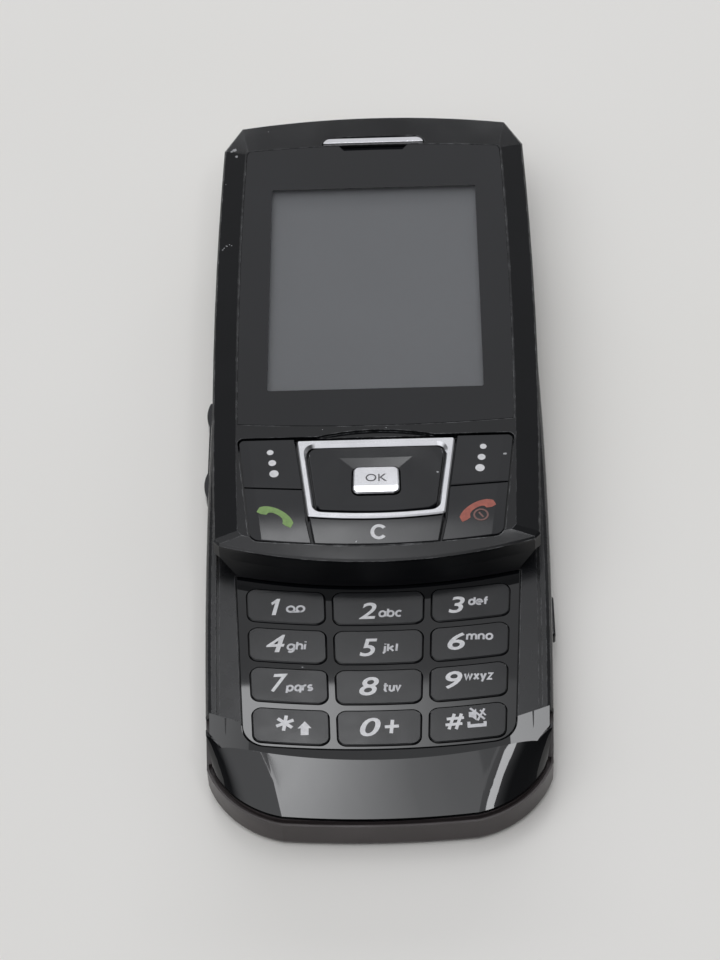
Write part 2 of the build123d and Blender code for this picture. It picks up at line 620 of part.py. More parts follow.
KEY_CENTRES = []
for row, names in enumerate(KEY_ROWS):
    for column, name in enumerate(names):
        with BuildPart() as number_key:
            with BuildSketch(Plane.XY.offset(PANEL_Z)):
                add(key_outline(row, column))
            extrude(amount=KEY_TOP - PANEL_Z)
            chamfer(number_key.faces().sort_by(Axis.Z)[-1].edges(), length=KEY_EDGE)
        centre = number_key.part.center()
        KEY_CENTRES.append((centre.X, centre.Y))
        number_key.part.label = name
        export_step(number_key.part, f"parts/{name}.step")

DOME_FILM = 0.1
with BuildPart() as dome_sheet:
    with BuildSketch(Plane.XY.offset(DOME_FILM_Z)):
        add(panel_outline(-1.0))
        with Locations((0, RAIL_LOW + BASE_LENGTH / 2)):
            Rectangle(BASE_WIDTH, BASE_LENGTH, mode=Mode.SUBTRACT)
    extrude(amount=DOME_FILM)
    with BuildSketch(Plane.XY.offset(DOME_FILM_Z + DOME_FILM)):
        with Locations(*KEY_CENTRES):
            RegularPolygon(radius=2.0, side_count=8)
    extrude(amount=0.15)
dome_sheet.part.label = "dome_sheet"
export_step(dome_sheet.part, "parts/dome_sheet.step")

# volume key: a rocker with a raised end at each side of its middle
FLANGE = 0.4
ROCKER_RADIUS = 0.4
ROCKER_GAP = 0.5
with BuildPart() as volume_key:
    wall_in = VOLUME_X + HOUSING_WALL + ROCKER_GAP
    with BuildSketch(Plane.XY.offset(SIDE_KEY_Z - SIDE_KEY_HEIGHT / 2)):
        with BuildLine():
            half = VOLUME_LENGTH / 2
            out = VOLUME_X - 0.35
            Polyline((out, -half + 0.8 + VOLUME_Y), (wall_in, -half + VOLUME_Y), (wall_in, half + VOLUME_Y),
                     (out, half - 0.8 + VOLUME_Y))
            for end in (1, -1):
                ThreePointArc((out, end * (half - 0.8) + VOLUME_Y), (out - 0.45, end * (half - 3.2) + VOLUME_Y),
                              (out, end * (half - 5.6) + VOLUME_Y))
            Line((out, half - 5.6 + VOLUME_Y), (out, -half + 5.6 + VOLUME_Y))
        make_face()
    extrude(amount=SIDE_KEY_HEIGHT)
    with Locations((wall_in + FLANGE / 2, VOLUME_Y, SIDE_KEY_Z)):
        Box(FLANGE, VOLUME_LENGTH + 2.0, SIDE_KEY_HEIGHT)
    # round rib that it rocks on
    with Locations((wall_in + FLANGE, VOLUME_Y, SIDE_KEY_Z)):
        Cylinder(ROCKER_RADIUS, SIDE_KEY_HEIGHT)
volume_key.part.label = "volume_key"
export_step(volume_key.part, "parts/volume_key.step")

with BuildPart() as camera_key:
    wall_in = CAMERA_KEY_X - HOUSING_WALL - 0.4
    with BuildSketch(Plane.YZ.offset(wall_in)):
        with Locations((CAMERA_KEY_Y, SIDE_KEY_Z)):
            RectangleRounded(CAMERA_KEY_LENGTH, SIDE_KEY_HEIGHT, 0.9)
    extrude(amount=HOUSING_WALL + 0.8)
    fillet(camera_key.edges().group_by(Axis.X)[-1], radius=0.25)
    with Locations((wall_in - FLANGE / 2, CAMERA_KEY_Y, SIDE_KEY_Z)):
        Box(FLANGE, CAMERA_KEY_LENGTH + 1.6, SIDE_KEY_HEIGHT)
camera_key.part.label = "camera_key"
export_step(camera_key.part, "parts/camera_key.step")

SWITCH_DEPTH = 2.2
with BuildPart() as side_switches:
    # two under the ends of the volume key and one behind the camera key
    for end in (-1, 1):
        with Locations((VOLUME_X + HOUSING_WALL + ROCKER_GAP + FLANGE + 0.35 + SWITCH_DEPTH / 2,
                        VOLUME_Y + end * 7.0, SIDE_KEY_Z + 0.3)):
            Box(SWITCH_DEPTH, 3.5, 2.8)
    # the last one reaches in under the edge of the board
    switch_out = CAMERA_KEY_X - HOUSING_WALL - 0.4 - FLANGE - 0.45
    switch_in = keypad_half(CAMERA_KEY_Y) + PANEL_SIDE - 1.0
    with Locations(((switch_out + switch_in) / 2, CAMERA_KEY_Y, SPLIT_Z - 1.4)):
        Box(switch_out - switch_in, 3.5, 2.8)
side_switches.part.label = "side_switches"
export_step(side_switches.part, "parts/side_switches.step")

with BuildPart() as socket_cover:
    # outer face follows the side of the phone
    with BuildSketch(Plane.XY.offset(SIDE_KEY_Z - FLAP_HEIGHT / 2)):
        add(base_outline(0.03))
        add(base_outline(FLAP_THICK), mode=Mode.SUBTRACT)
        with Locations((BASE_HALF, FLAP_HINGE_Y)):
            Rectangle(4.0, FLAP_Y + FLAP_LENGTH / 2 - FLAP_HINGE_Y, align=(Align.CENTER, Align.MIN),
                      mode=Mode.INTERSECT)
        # rolled end that it turns on
        with Locations((side_x(FLAP_HINGE_Y, BASE_HALF, WIDEST_Y) - FLAP_ROLL - 0.03, FLAP_HINGE_Y)):
            Circle(FLAP_ROLL)
    extrude(amount=FLAP_HEIGHT)
socket_cover.part.label = "socket_cover"
export_step(socket_cover.part, "parts/socket_cover.step")

SOCKET_DEPTH = 4.3
with BuildPart() as interface_connector:
    mouth_x = BASE_SIDE_X - HOUSING_WALL - 0.1
    with Locations((mouth_x - SOCKET_DEPTH / 2, FLAP_Y, SIDE_KEY_Z)):
        Box(SOCKET_DEPTH, SOCKET_WIDTH + 1.2, SPLIT_Z - SIDE_KEY_Z + 1.0)
    with Locations((mouth_x, FLAP_Y, SIDE_KEY_Z)):
        Box(2 * (SOCKET_DEPTH - 0.8), SOCKET_WIDTH - 0.4, SOCKET_HEIGHT - 0.3, mode=Mode.SUBTRACT)
    # contact tongue, from the back of the socket to just inside its mouth
    with Locations((mouth_x - 0.6 - (SOCKET_DEPTH - 1.0) / 2, FLAP_Y, SIDE_KEY_Z)):
        Box(SOCKET_DEPTH - 1.0, SOCKET_WIDTH - 2.0, 0.5)
interface_connector.part.label = "interface_connector"
export_step(interface_connector.part, "parts/interface_connector.step")

# ---------------------------------------------------------------- keypad half: inside
with BuildPart() as main_board:
    with BuildSketch(Plane.XY.offset(BOARD_Z)):
        add(panel_outline(-0.3))
        with Locations((0, RAIL_LOW - 1.0 + BASE_LENGTH / 2)):
            Rectangle(2 * BASE_WIDTH, BASE_LENGTH, mode=Mode.SUBTRACT)
        with Locations((0, (RAIL_LOW - 3.0 + RAIL_HIGH - 2.5) / 2)):
            Rectangle(2 * STRIP_HALF, RAIL_LENGTH + 0.5)
    extrude(amount=BOARD_THICK)
main_board.part.label = "main_board"
export_step(main_board.part, "parts/main_board.step")

CAN_HEIGHT = 1.5
CANS = [((8.5, BASE_END + 29.5), (17.0, 12.0)), ((-10.0, BASE_END + 34.1), (13.0, 4.6))]
with BuildPart() as shield_cans:
    for (x, y), (width, length) in CANS:
        with Locations((x, y, SPLIT_Z - CAN_HEIGHT / 2)):
            Box(width, length, CAN_HEIGHT)
        with Locations((x, y, SPLIT_Z - (CAN_HEIGHT - 0.3) / 2)):
            Box(width - 0.6, length - 0.6, CAN_HEIGHT - 0.3, mode=Mode.SUBTRACT)
shield_cans.part.label = "shield_cans"
export_step(shield_cans.part, "parts/shield_cans.step")

BATTERY_LOW = BAY_LOW + 0.9
with BuildPart() as battery_pack:
    with Locations((0, BATTERY_LOW + BATTERY[1] / 2, COVER_THICK + 0.05 + BATTERY[2] / 2)):
        Box(*BATTERY)
    fillet(battery_pack.edges().filter_by(Axis.Z), radius=1.2)
    # finger notch at the end away from the contacts
    with Locations((0, BATTERY_LOW + BATTERY[1], COVER_THICK + 0.05)):
        Box(8.0, 1.6, 1.6, mode=Mode.SUBTRACT)
battery_pack.part.label = "battery_pack"
export_step(battery_pack.part, "parts/battery_pack.step")

with BuildPart() as battery_contacts:
    with Locations((0, BAY_LOW + 0.35 - 0.75, 2.9)):
        with GridLocations(4.0, 0, 3, 1):
            Box(1.4, 2.0, 1.6)
battery_contacts.part.label = "battery_contacts"
export_step(battery_contacts.part, "parts/battery_contacts.step")

SIM = (25.0, 12.0, 1.3)
with BuildPart() as sim_holder:
    sim_y = BAY_LOW + BAY_LENGTH - SIM[1] / 2 - 0.6
    sim_z = SPLIT_Z - BAY_ROOF - SIM[2] / 2
    with Locations((0, sim_y, sim_z)):
        Box(*SIM)
    with Locations((0, sim_y - 1.2, sim_z - 0.2)):
        Box(SIM[0] - 3.0, SIM[1], SIM[2] - 0.9, mode=Mode.SUBTRACT)
sim_holder.part.label = "sim_holder"
export_step(sim_holder.part, "parts/sim_holder.step")

SPEAKER_HALF = 6.5
with BuildPart() as loudspeaker:
    with BuildSketch(Plane((-9.5, BASE_END + 25.0, FLOOR))):
        Circle(SPEAKER_HALF)
    extrude(amount=2.9)
    with BuildSketch(Plane((-9.5, BASE_END + 25.0, FLOOR))):
        Circle(SPEAKER_HALF - 0.7)
    extrude(amount=0.4, mode=Mode.SUBTRACT)
    chamfer(loudspeaker.edges().group_by(Axis.Z)[-1], length=0.4)
loudspeaker.part.label = "loudspeaker"
export_step(loudspeaker.part, "parts/loudspeaker.step")

MOTOR_HALF = 1.75
with BuildPart() as vibration_motor:
    motor_y = BASE_END + 15.5
    with BuildSketch(Plane.YZ.offset(4.0)):
        with Locations((motor_y, FLOOR + MOTOR_HALF)):
            Circle(MOTOR_HALF)
    extrude(amount=7.5)
    # off-centre weight on its shaft
    with BuildSketch(Plane.YZ.offset(11.5)):
        with Locations((motor_y, FLOOR + MOTOR_HALF)):
            Circle(0.4)
    extrude(amount=0.8)
    with BuildSketch(Plane.YZ.offset(12.3)):
        with Locations((motor_y, FLOOR + MOTOR_HALF)):
            Circle(MOTOR_HALF - 0.15)
            Rectangle(4 * MOTOR_HALF, 2 * MOTOR_HALF, align=(Align.CENTER, Align.MIN), mode=Mode.SUBTRACT)
            Circle(0.4)
    extrude(amount=2.6)
vibration_motor.part.label = "vibration_motor"
export_step(vibration_motor.part, "parts/vibration_motor.step")

with BuildPart() as microphone:
    with BuildSketch(Plane((5.5, BASE_END + 5.2, FLOOR))):
        Circle(2.0)
    extrude(amount=1.5)
    with BuildSketch(Plane((5.5, BASE_END + 5.2, FLOOR + 1.5))):
        Circle(0.5)
    extrude(amount=-0.3, mode=Mode.SUBTRACT)
microphone.part.label = "microphone"
export_step(microphone.part, "parts/microphone.step")

with BuildPart() as antenna:
    with BuildSketch(Plane.XY.offset(SHELF_Z)):
        add(base_outline(HOUSING_WALL + FIT))
        with Locations((0, BAY_LOW + BAY_LENGTH + BAY_WALL + FIT)):
            Rectangle(32.0, 20.0, align=(Align.CENTER, Align.MIN), mode=Mode.INTERSECT)
    extrude(amount=SPLIT_Z - SHELF_Z - 0.3)
antenna.part.label = "antenna"
export_step(antenna.part, "parts/antenna.step")

# ---------------------------------------------------------------- slide mechanism
with BuildPart() as rail_plate:
    with BuildSketch(Plane.XY.offset(RAIL_Z)):
        with Locations((0, (RAIL_LOW + RAIL_HIGH) / 2)):
            Rectangle(2 * RAIL_HALF, RAIL_LENGTH)
    extrude(amount=RAIL_THICK)
    with BuildSketch(Plane.XY.offset(RAIL_Z)):
        with Locations(*RAIL_SCREWS):
            Circle(0.6 + FIT / 2)
        with Locations(FLEX_PLACE):
            Rectangle(FLEX_WIDTH + 1.0, 1.2)
    extrude(amount=RAIL_THICK, mode=Mode.SUBTRACT)
    with BuildSketch(Plane.XY.offset(RAIL_Z + RAIL_THICK)):
        with Locations(*RAIL_SCREWS):
            Circle(1.0 + FIT / 2)
    extrude(amount=-0.25, mode=Mode.SUBTRACT)
rail_plate.part.label = "rail_plate"
export_step(rail_plate.part, "parts/rail_plate.step")

with BuildPart() as rail_screws:
    for x, y in RAIL_SCREWS:
        with BuildSketch(Plane((x, y, RAIL_Z + RAIL_THICK))):
            Circle(1.0)
        extrude(amount=-0.25)
        with BuildSketch(Plane((x, y, RAIL_Z + RAIL_THICK))):
            Circle(0.6)
        extrude(amount=-0.9)
rail_screws.part.label = "rail_screws"
export_step(rail_screws.part, "parts/rail_screws.step")

CARRIAGE_HIGH = RAIL_HIGH - STOP_GAP
CARRIAGE_LENGTH = RAIL_LENGTH - TRAVEL - 2 * STOP_GAP
CARRIAGE_Y = CARRIAGE_HIGH - CARRIAGE_LENGTH / 2
CARRIAGE_Z = SLIDE_BACK + 0.05
LEG_IN = RAIL_HALF + 0.35
LEG_OUT = GROOVE_OUT - 0.35
LIP_IN = GROOVE_IN + 0.35
LIP_TOP = RAIL_Z - RAIL_RUN_GAP
LIP_FOOT = BASE_HEIGHT - GROOVE_DEPTH + RAIL_RUN_GAP
CARRIAGE_SCREWS = [(side * 12.0, CARRIAGE_Y + end * (CARRIAGE_LENGTH / 2 - 4.0))
                   for end in (-1, 1) for side in (-1, 1)]

with BuildPart() as carriage_plate:
    # a shallow channel whose lips hook under both edges of the rail plate
    with Locations((0, CARRIAGE_Y, CARRIAGE_Z + CARRIAGE_THICK / 2)):
        Box(2 * LEG_OUT, CARRIAGE_LENGTH, CARRIAGE_THICK)
    for side in (-1, 1):
        with Locations((side * (LEG_IN + LEG_OUT) / 2, CARRIAGE_Y, (LIP_FOOT + CARRIAGE_Z) / 2)):
            Box(LEG_OUT - LEG_IN, CARRIAGE_LENGTH, CARRIAGE_Z - LIP_FOOT)
        with Locations((side * (LIP_IN + LEG_OUT) / 2, CARRIAGE_Y, (LIP_FOOT + LIP_TOP) / 2)):
            Box(LEG_OUT - LIP_IN, CARRIAGE_LENGTH, LIP_TOP - LIP_FOOT)
    with BuildSketch(Plane.XY.offset(CARRIAGE_Z)):
        with Locations(*CARRIAGE_SCREWS):
            Circle(0.5 + FIT / 2)
    extrude(amount=CARRIAGE_THICK, mode=Mode.SUBTRACT)
    with BuildSketch(Plane.XY.offset(CARRIAGE_Z)):
        with Locations(*CARRIAGE_SCREWS):
            Circle(1.0 + FIT / 2)
    extrude(amount=0.25, mode=Mode.SUBTRACT)
    # lightening window
    with BuildSketch(Plane.XY.offset(CARRIAGE_Z)):
        with Locations((0, CARRIAGE_Y)):
            RectangleRounded(14.0, CARRIAGE_LENGTH - 8.0, 2.0)
    extrude(amount=CARRIAGE_THICK, mode=Mode.SUBTRACT)
carriage_plate.part.label = "carriage_plate"
export_step(carriage_plate.part, "parts/carriage_plate.step")

with BuildPart() as carriage_screws:
    for x, y in CARRIAGE_SCREWS:
        with BuildSketch(Plane((x, y, CARRIAGE_Z))):
            Circle(1.0)
        extrude(amount=0.25)
        with BuildSketch(Plane((x, y, CARRIAGE_Z))):
            Circle(0.5)
        extrude(amount=1.1)
carriage_screws.part.label = "carriage_screws"
export_step(carriage_screws.part, "parts/carriage_screws.step")

SPRING_Z = RAIL_Z + RAIL_THICK + 0.1
with BuildPart() as slide_spring:
    # flat torsion spring: one loop and two arms that end in eyes
    loop_y = RAIL_LOW + 22.0
    with BuildSketch(Plane.XY.offset(SPRING_Z)):
        with Locations((0, loop_y)):
            Circle(4.3)
            Circle(3.7, mode=Mode.SUBTRACT)
        Polygon((-4.3, loop_y), (-3.7, loop_y), (-10.2, RAIL_LOW + 3.0), (-10.8, RAIL_LOW + 3.0), align=None)
        Polygon((4.3, loop_y), (3.7, loop_y), (10.2, loop_y + 18.0), (10.8, loop_y + 18.0), align=None)
        with Locations((-10.5, RAIL_LOW + 3.0), (10.5, loop_y + 18.0)):
            Circle(1.1)
            Circle(0.5, mode=Mode.SUBTRACT)
    extrude(amount=0.3)
slide_spring.part.label = "slide_spring"
export_step(slide_spring.part, "parts/slide_spring.step")

# ---------------------------------------------------------------- screen half: covers
CAVITY_Z = SLIDE_BACK + SLIDE_FLOOR
CAMERA = (0.0, SLIDE_TOP - 10.4)
FLASH = (9.0, SLIDE_TOP - 12.75)
SLIDE_SCREWS = [(side * x, y) for x, y in ((18.0, SLIDE_TOP - 5.75), (18.2, SLIDE_END + 6.25))
                for side in (-1, 1)]
BOSS = 2.0
NAV_FOOT = SLIDE_END + NAV_LOW
RING_FOOT = SLIDE_END + RING_LOW
RING_HEAD = SLIDE_END + RING_HIGH
OK_Y = SLIDE_END + OK_UP
CAP_Z = CAP_TOP - CAP_THICK
STEM_Z = CAP_Z - 2.0
NUB_REACH = (7.8, 3.3)
NUB_RADIUS = 0.4
NAV_NUBS = [(NUB_REACH[0], OK_Y), (-NUB_REACH[0], OK_Y), (0, OK_Y + NUB_REACH[1]), (0, OK_Y - NUB_REACH[1])]
SOFT_STEM = (15.2, SLIDE_END + 18.0)
CALL_STEM = (13.0, SLIDE_END + 8.0)
CLEAR_STEM = (0, SLIDE_END + 4.9)
STEMS = [(side * x, y) for x, y in (SOFT_STEM, CALL_STEM) for side in (-1, 1)] + [CLEAR_STEM]
PIVOT_IN = 5.1
PIVOT_OUT = 5.8
PIVOT_Z = 11.3
PIVOT_PIN = 0.3
SCREEN_Y = SLIDE_TOP - SCREEN_DOWN - SCREEN_HEIGHT / 2
WINDOW_LOW = SLIDE_END + WINDOW_UP
EAR_Y = SLIDE_TOP - 6.3
EAR = (16.4, 1.45)       # bright bar
EAR_FOOT = EAR_Y - 1.15
EAR_SLOT = 2.2


def ear_outline(width, foot, height):
    """Plan of the earpiece bar or its slot: flat along its foot, with round shoulders."""
    with BuildSketch() as plan:
        with Locations((0, foot)):
            Rectangle(width, height, align=(Align.CENTER, Align.MIN))
        fillet(plan.vertices().group_by(Axis.Y)[0], 0.2)
        fillet(plan.vertices().group_by(Axis.Y)[-1], height - 0.25)
    return plan.sketch


def nav_outline(inset=0.0):
    """Plan of the sunk plate round the navigation keys: narrower towards its bowed foot."""
    low, high = NAV_FOOT + inset, SLIDE_END + NAV_HIGH - inset
    low_half = NAV_HALF - inset
    high_half = NAV_HALF + NAV_FLARE * (high - low) - inset
    with BuildSketch() as plan:
        Polygon((low_half, low), (high_half, high), (-high_half, high), (-low_half, low), align=None)
        with Locations((0, low + NAV_ARC)):
            Circle(NAV_ARC, mode=Mode.INTERSECT)
        fillet(plan.vertices().group_by(Axis.Y)[0], NAV_CORNER - inset)
        fillet(plan.vertices().group_by(Axis.Y)[-1], 1.0 - inset)
    return plan.sketch


def ring_half(y):
    """Half width of the bright ring's outside at y."""
    return RING_HALF_LOW + (RING_HALF_HIGH - RING_HALF_LOW) * (y - RING_FOOT) / (RING_HEAD - RING_FOOT)


def ring_outline(inset=0.0):
    """Plan of the bright ring's outside."""
    low, high = RING_FOOT + inset, RING_HEAD - inset
    with BuildSketch() as plan:
        Polygon((ring_half(low) - inset, low), (ring_half(high) - inset, high),
                (-ring_half(high) + inset, high), (-ring_half(low) + inset, low), align=None)
        with Locations((0, low + RING_ARC)):
            Circle(RING_ARC, mode=Mode.INTERSECT)
        fillet(plan.vertices(), RING_CORNER if inset > RING_BAR / 2 else RING_OUTER_CORNER)
    return plan.sketch


def clear_half(y):
    """Half width of the clear key at y."""
    return CLEAR_HALF + CLEAR_FLARE * (y - NAV_FOOT)


def ok_outline(grow=0.0):
    """Plan of the middle key, a little wider at its foot."""
    low, high = OK_Y - OK_HEIGHT / 2 - grow, OK_Y + OK_HEIGHT / 2 + grow
    with BuildSketch() as plan:
        Polygon((OK_WIDTH / 2 + grow, low), (OK_WIDTH / 2 - 0.1 + grow, high),
                (-OK_WIDTH / 2 + 0.1 - grow, high), (-OK_WIDTH / 2 - grow, low), align=None)
        fillet(plan.vertices(), 0.9 + grow)
    return plan.sketch


with BuildPart() as slide_rear_cover:
    with BuildSketch(Plane.XY.offset(SLIDE_BACK)):
        add(boat_outline())
    with BuildSketch(Plane.XY.offset(SLIDE_SPLIT_Z)):
        add(rim_outline(SLIDE_SPLIT_Z))
    loft(ruled=True)
    with BuildSketch(Plane.XY.offset(CAVITY_Z)):
        add(boat_outline(SLIDE_WALL))
    extrude(amount=SLIDE_SPLIT_Z - CAVITY_Z, mode=Mode.SUBTRACT)
    # raised floor over the carriage, whose seat is sunk from below
    with Locations((0, CARRIAGE_Y, CAVITY_Z + 0.25)):
        Box(2 * (LEG_OUT + 1.0), CARRIAGE_LENGTH + 2.0, 0.5)
    with Locations((0, CARRIAGE_Y, CARRIAGE_Z)):
        Box(2 * (LEG_OUT + FIT), CARRIAGE_LENGTH + 2 * FIT, 2 * CARRIAGE_THICK, mode=Mode.SUBTRACT)
    with BuildSketch(Plane.XY.offset(SLIDE_BACK)):
        with Locations(*CARRIAGE_SCREWS):
            Circle(0.5 + FIT / 2)
    extrude(amount=1.3, mode=Mode.SUBTRACT)
    # screw bosses
    with BuildSketch(Plane.XY.offset(CAVITY_Z)):
        with Locations(*SLIDE_SCREWS):
            Circle(BOSS)
    extrude(amount=SLIDE_SPLIT_Z - CAVITY_Z)
    with BuildSketch(Plane.XY.offset(SLIDE_BACK)):
        with Locations(*SLIDE_SCREWS):
            Circle(0.7 + FIT / 2)
    extrude(amount=SLIDE_SPLIT_Z - SLIDE_BACK, mode=Mode.SUBTRACT)
    with BuildSketch(Plane.XY.offset(SLIDE_BACK)):
        with Locations(*SLIDE_SCREWS):
            Circle(1.3 + FIT)
    extrude(amount=0.85, mode=Mode.SUBTRACT)
    # camera and lamp at the back, uncovered when the phone is open
    with BuildSketch(Plane.XY.offset(SLIDE_BACK)):
        with Locations(CAMERA):
            Circle(2.5)
        with Locations(FLASH):
            Circle(1.5 + FIT)
    extrude(amount=SLIDE_FLOOR, mode=Mode.SUBTRACT)
    with BuildSketch(Plane.XY.offset(SLIDE_BACK)):
        with Locations(CAMERA):
            Circle(3.5 + FIT)
    extrude(amount=0.5, mode=Mode.SUBTRACT)
slide_rear_cover.part.label = "slide_rear_cover"
export_step(slide_rear_cover.part, "parts/slide_rear_cover.step")

with BuildPart() as slide_front_cover:
    # upright walls, a fine bright edge, sloping borders and the flat
    for z, inset in ((SLIDE_SPLIT_Z, 0.0), (EDGE_Z - EDGE_CHAMFER, 0.0), (EDGE_Z, EDGE_CHAMFER)):
        with BuildSketch(Plane.XY.offset(z)):
            add(rim_outline(z, inset))
    with BuildSketch(Plane.XY.offset(THICKNESS)):
        add(flat_outline())
    loft(ruled=True)
    with BuildSketch(Plane.XY.offset(SLIDE_SPLIT_Z)):
        add(rim_outline(SLIDE_SPLIT_Z, SLIDE_WALL))
    extrude(amount=ROOF_Z - SLIDE_SPLIT_Z, mode=Mode.SUBTRACT)
    # seat of the window, and the opening for the picture
    with BuildSketch(Plane.XY.offset(THICKNESS)):
        add(flat_outline(0.25))
        with Locations((0, WINDOW_LOW - 0.1 + 268.0)):
            Circle(268.0, mode=Mode.INTERSECT)
    extrude(amount=-WINDOW_THICK, mode=Mode.SUBTRACT)
    with Locations((0, SCREEN_Y, THICKNESS)):
        Box(SCREEN_WIDTH + 1.4, SCREEN_HEIGHT + 1.4, 2 * (THICKNESS - ROOF_Z), mode=Mode.SUBTRACT)
    # sunk plate of the navigation keys, with a scoop for the thumb above it
    with BuildSketch(Plane.XY.offset(POCKET_Z)):
        add(nav_outline())
    extrude(amount=THICKNESS - POCKET_Z, mode=Mode.SUBTRACT)
    with BuildSketch(Plane.XY.offset(THICKNESS - 0.45)):
        with Locations((0, SLIDE_END + NAV_HIGH + 1.15 - 34.0)):
            Circle(34.0)
        with Locations((0, SLIDE_END + NAV_HIGH - 0.2)):
            Rectangle(19.0, 3.0, align=(Align.CENTER, Align.MIN), mode=Mode.INTERSECT)
    extrude(amount=1.0, mode=Mode.SUBTRACT)
    with BuildSketch(Plane.XY.offset(ROOF_Z)):
        with Locations(*STEMS):
            Rectangle(STEM + 0.7, STEM + 0.7)
        with Locations(*NAV_NUBS[:2]):
            Circle(NUB_RADIUS + 0.5)
        with Locations((0, OK_Y)):
            Circle(PIVOT_OUT + 0.4)
    extrude(amount=POCKET_Z - ROOF_Z, mode=Mode.SUBTRACT)
    # seat of the earpiece bar and its sound opening
    with BuildSketch(Plane.XY.offset(THICKNESS)):
        add(ear_outline(EAR[0] + 0.6, EAR_FOOT - 0.15, EAR_SLOT))
    extrude(amount=-1.3, mode=Mode.SUBTRACT)
    with BuildSketch(Plane.XY.offset(THICKNESS)):
        with Locations((0, EAR_Y)):
            SlotOverall(10.0, 1.2)
    extrude(amount=ROOF_Z - THICKNESS, mode=Mode.SUBTRACT)
    # screw bosses
    with BuildSketch(Plane.XY.offset(SLIDE_SPLIT_Z)):
        with Locations(*SLIDE_SCREWS):
            Circle(BOSS)
    extrude(amount=ROOF_Z - SLIDE_SPLIT_Z)
    with BuildSketch(Plane.XY.offset(SLIDE_SPLIT_Z)):
        with Locations(*SLIDE_SCREWS):
            Circle(0.7 + FIT / 2)
    extrude(amount=1.2, mode=Mode.SUBTRACT)
slide_front_cover.part.label = "slide_front_cover"
export_step(slide_front_cover.part, "parts/slide_front_cover.step")

with BuildPart() as slide_screws:
    for x, y in SLIDE_SCREWS:
        with BuildSketch(Plane((x, y, SLIDE_BACK + 0.15))):
            Circle(1.3)
        extrude(amount=0.7)
        with BuildSketch(Plane((x, y, SLIDE_BACK + 0.15))):
            Circle(0.7)
        extrude(amount=SLIDE_SPLIT_Z + 1.0 - SLIDE_BACK)
slide_screws.part.label = "slide_screws"
export_step(slide_screws.part, "parts/slide_screws.step")

with BuildPart() as display_window:
    with BuildSketch(Plane.XY.offset(THICKNESS - WINDOW_THICK)):
        add(flat_outline(0.35))
        with Locations((0, WINDOW_LOW + 268.0)):
            Circle(268.0, mode=Mode.INTERSECT)
    extrude(amount=WINDOW_THICK)
    # sound recess under the earpiece bar
    with BuildSketch(Plane.XY.offset(THICKNESS)):
        Polygon((-4.7, EAR_Y - 2.85), (4.7, EAR_Y - 2.85), (5.8, EAR_Y - 1.3), (6.4, EAR_Y), (-6.4, EAR_Y),
                (-5.8, EAR_Y - 1.3), align=None)
    extrude(amount=-0.6, mode=Mode.SUBTRACT)
display_window.part.label = "display_window"
export_step(display_window.part, "parts/display_window.step")

with BuildPart() as earpiece_grille:
    with BuildSketch(Plane.XY.offset(THICKNESS - 1.25)):
        add(ear_outline(EAR[0], EAR_FOOT, EAR[1]))
    extrude(amount=1.2)
    # broad bevel along the foot
    with Locations(Location((0, EAR_FOOT + 0.4, THICKNESS - 0.05), (45, 0, 0))):
        Box(2 * EAR[0], 2.0, 2.0, align=(Align.CENTER, Align.MAX, Align.MIN), mode=Mode.SUBTRACT)
earpiece_grille.part.label = "earpiece_grille"
export_step(earpiece_grille.part, "parts/earpiece_grille.step")

# ---------------------------------------------------------------- screen half: keys
RING_TOP = THICKNESS
with BuildPart() as nav_ring:
    with BuildSketch(Plane.XY.offset(POCKET_Z)):
        add(ring_outline())
        add(ring_outline(RING_BAR), mode=Mode.SUBTRACT)
    extrude(amount=RING_TOP - POCKET_Z)
    ring_face = nav_ring.faces().sort_by(Axis.Z)[-1]
    chamfer(ring_face.outer_wire().edges(), length=0.2)
    chamfer(nav_ring.faces().sort_by(Axis.Z)[-1].inner_wires()[0].edges(), length=0.45)
nav_ring.part.label = "nav_ring"
export_step(nav_ring.part, "parts/nav_ring.step")

with BuildPart() as nav_pivot:
    with BuildSketch(Plane.XY.offset(STEM_Z + 0.3)):
        with Locations((0, OK_Y)):
            Circle(PIVOT_OUT)
            Circle(PIVOT_IN, mode=Mode.SUBTRACT)
    extrude(amount=CAP_Z - 0.4 - STEM_Z - 0.3)
    # two pins across, that the ring tilts on
    with Locations((PIVOT_OUT, OK_Y, PIVOT_Z), (-PIVOT_OUT, OK_Y, PIVOT_Z)):
        Cylinder(PIVOT_PIN, 0.6, rotation=(0, 90, 0))
nav_pivot.part.label = "nav_pivot"
export_step(nav_pivot.part, "parts/nav_pivot.step")

with BuildPart() as nav_key:
    with BuildSketch(Plane.XY.offset(CAP_Z)):
        add(ring_outline(RING_BAR + NAV_GAP))
    extrude(amount=CAP_THICK)
    chamfer(nav_key.faces().sort_by(Axis.Z)[-1].edges(), length=0.15)
    # dished towards the middle key
    with Locations((0, OK_Y, CAP_TOP - 0.3 + 170.0)):
        Sphere(170.0, mode=Mode.SUBTRACT)
    with BuildSketch(Plane.XY.offset(CAP_Z)):
        add(ok_outline(0.25))
    extrude(amount=CAP_THICK, mode=Mode.SUBTRACT)
    # hub inside the pivot ring, and four nubs over the domes
    with BuildSketch(Plane.XY.offset(CAP_Z)):
        with Locations((0, OK_Y)):
            Circle(PIVOT_IN - 0.35)
            Circle(PIVOT_IN - 0.9, mode=Mode.SUBTRACT)
    extrude(amount=-1.1)
    with Locations((0, OK_Y + PIVOT_IN - 0.35, PIVOT_Z), (0, OK_Y - PIVOT_IN + 0.35, PIVOT_Z)):
        Cylinder(PIVOT_PIN, 0.5, rotation=(90, 0, 0))
    with BuildSketch(Plane.XY.offset(CAP_Z)):
        with Locations(*NAV_NUBS):
            Circle(NUB_RADIUS)
    extrude(amount=STEM_Z - CAP_Z)
nav_key.part.label = "nav_key"
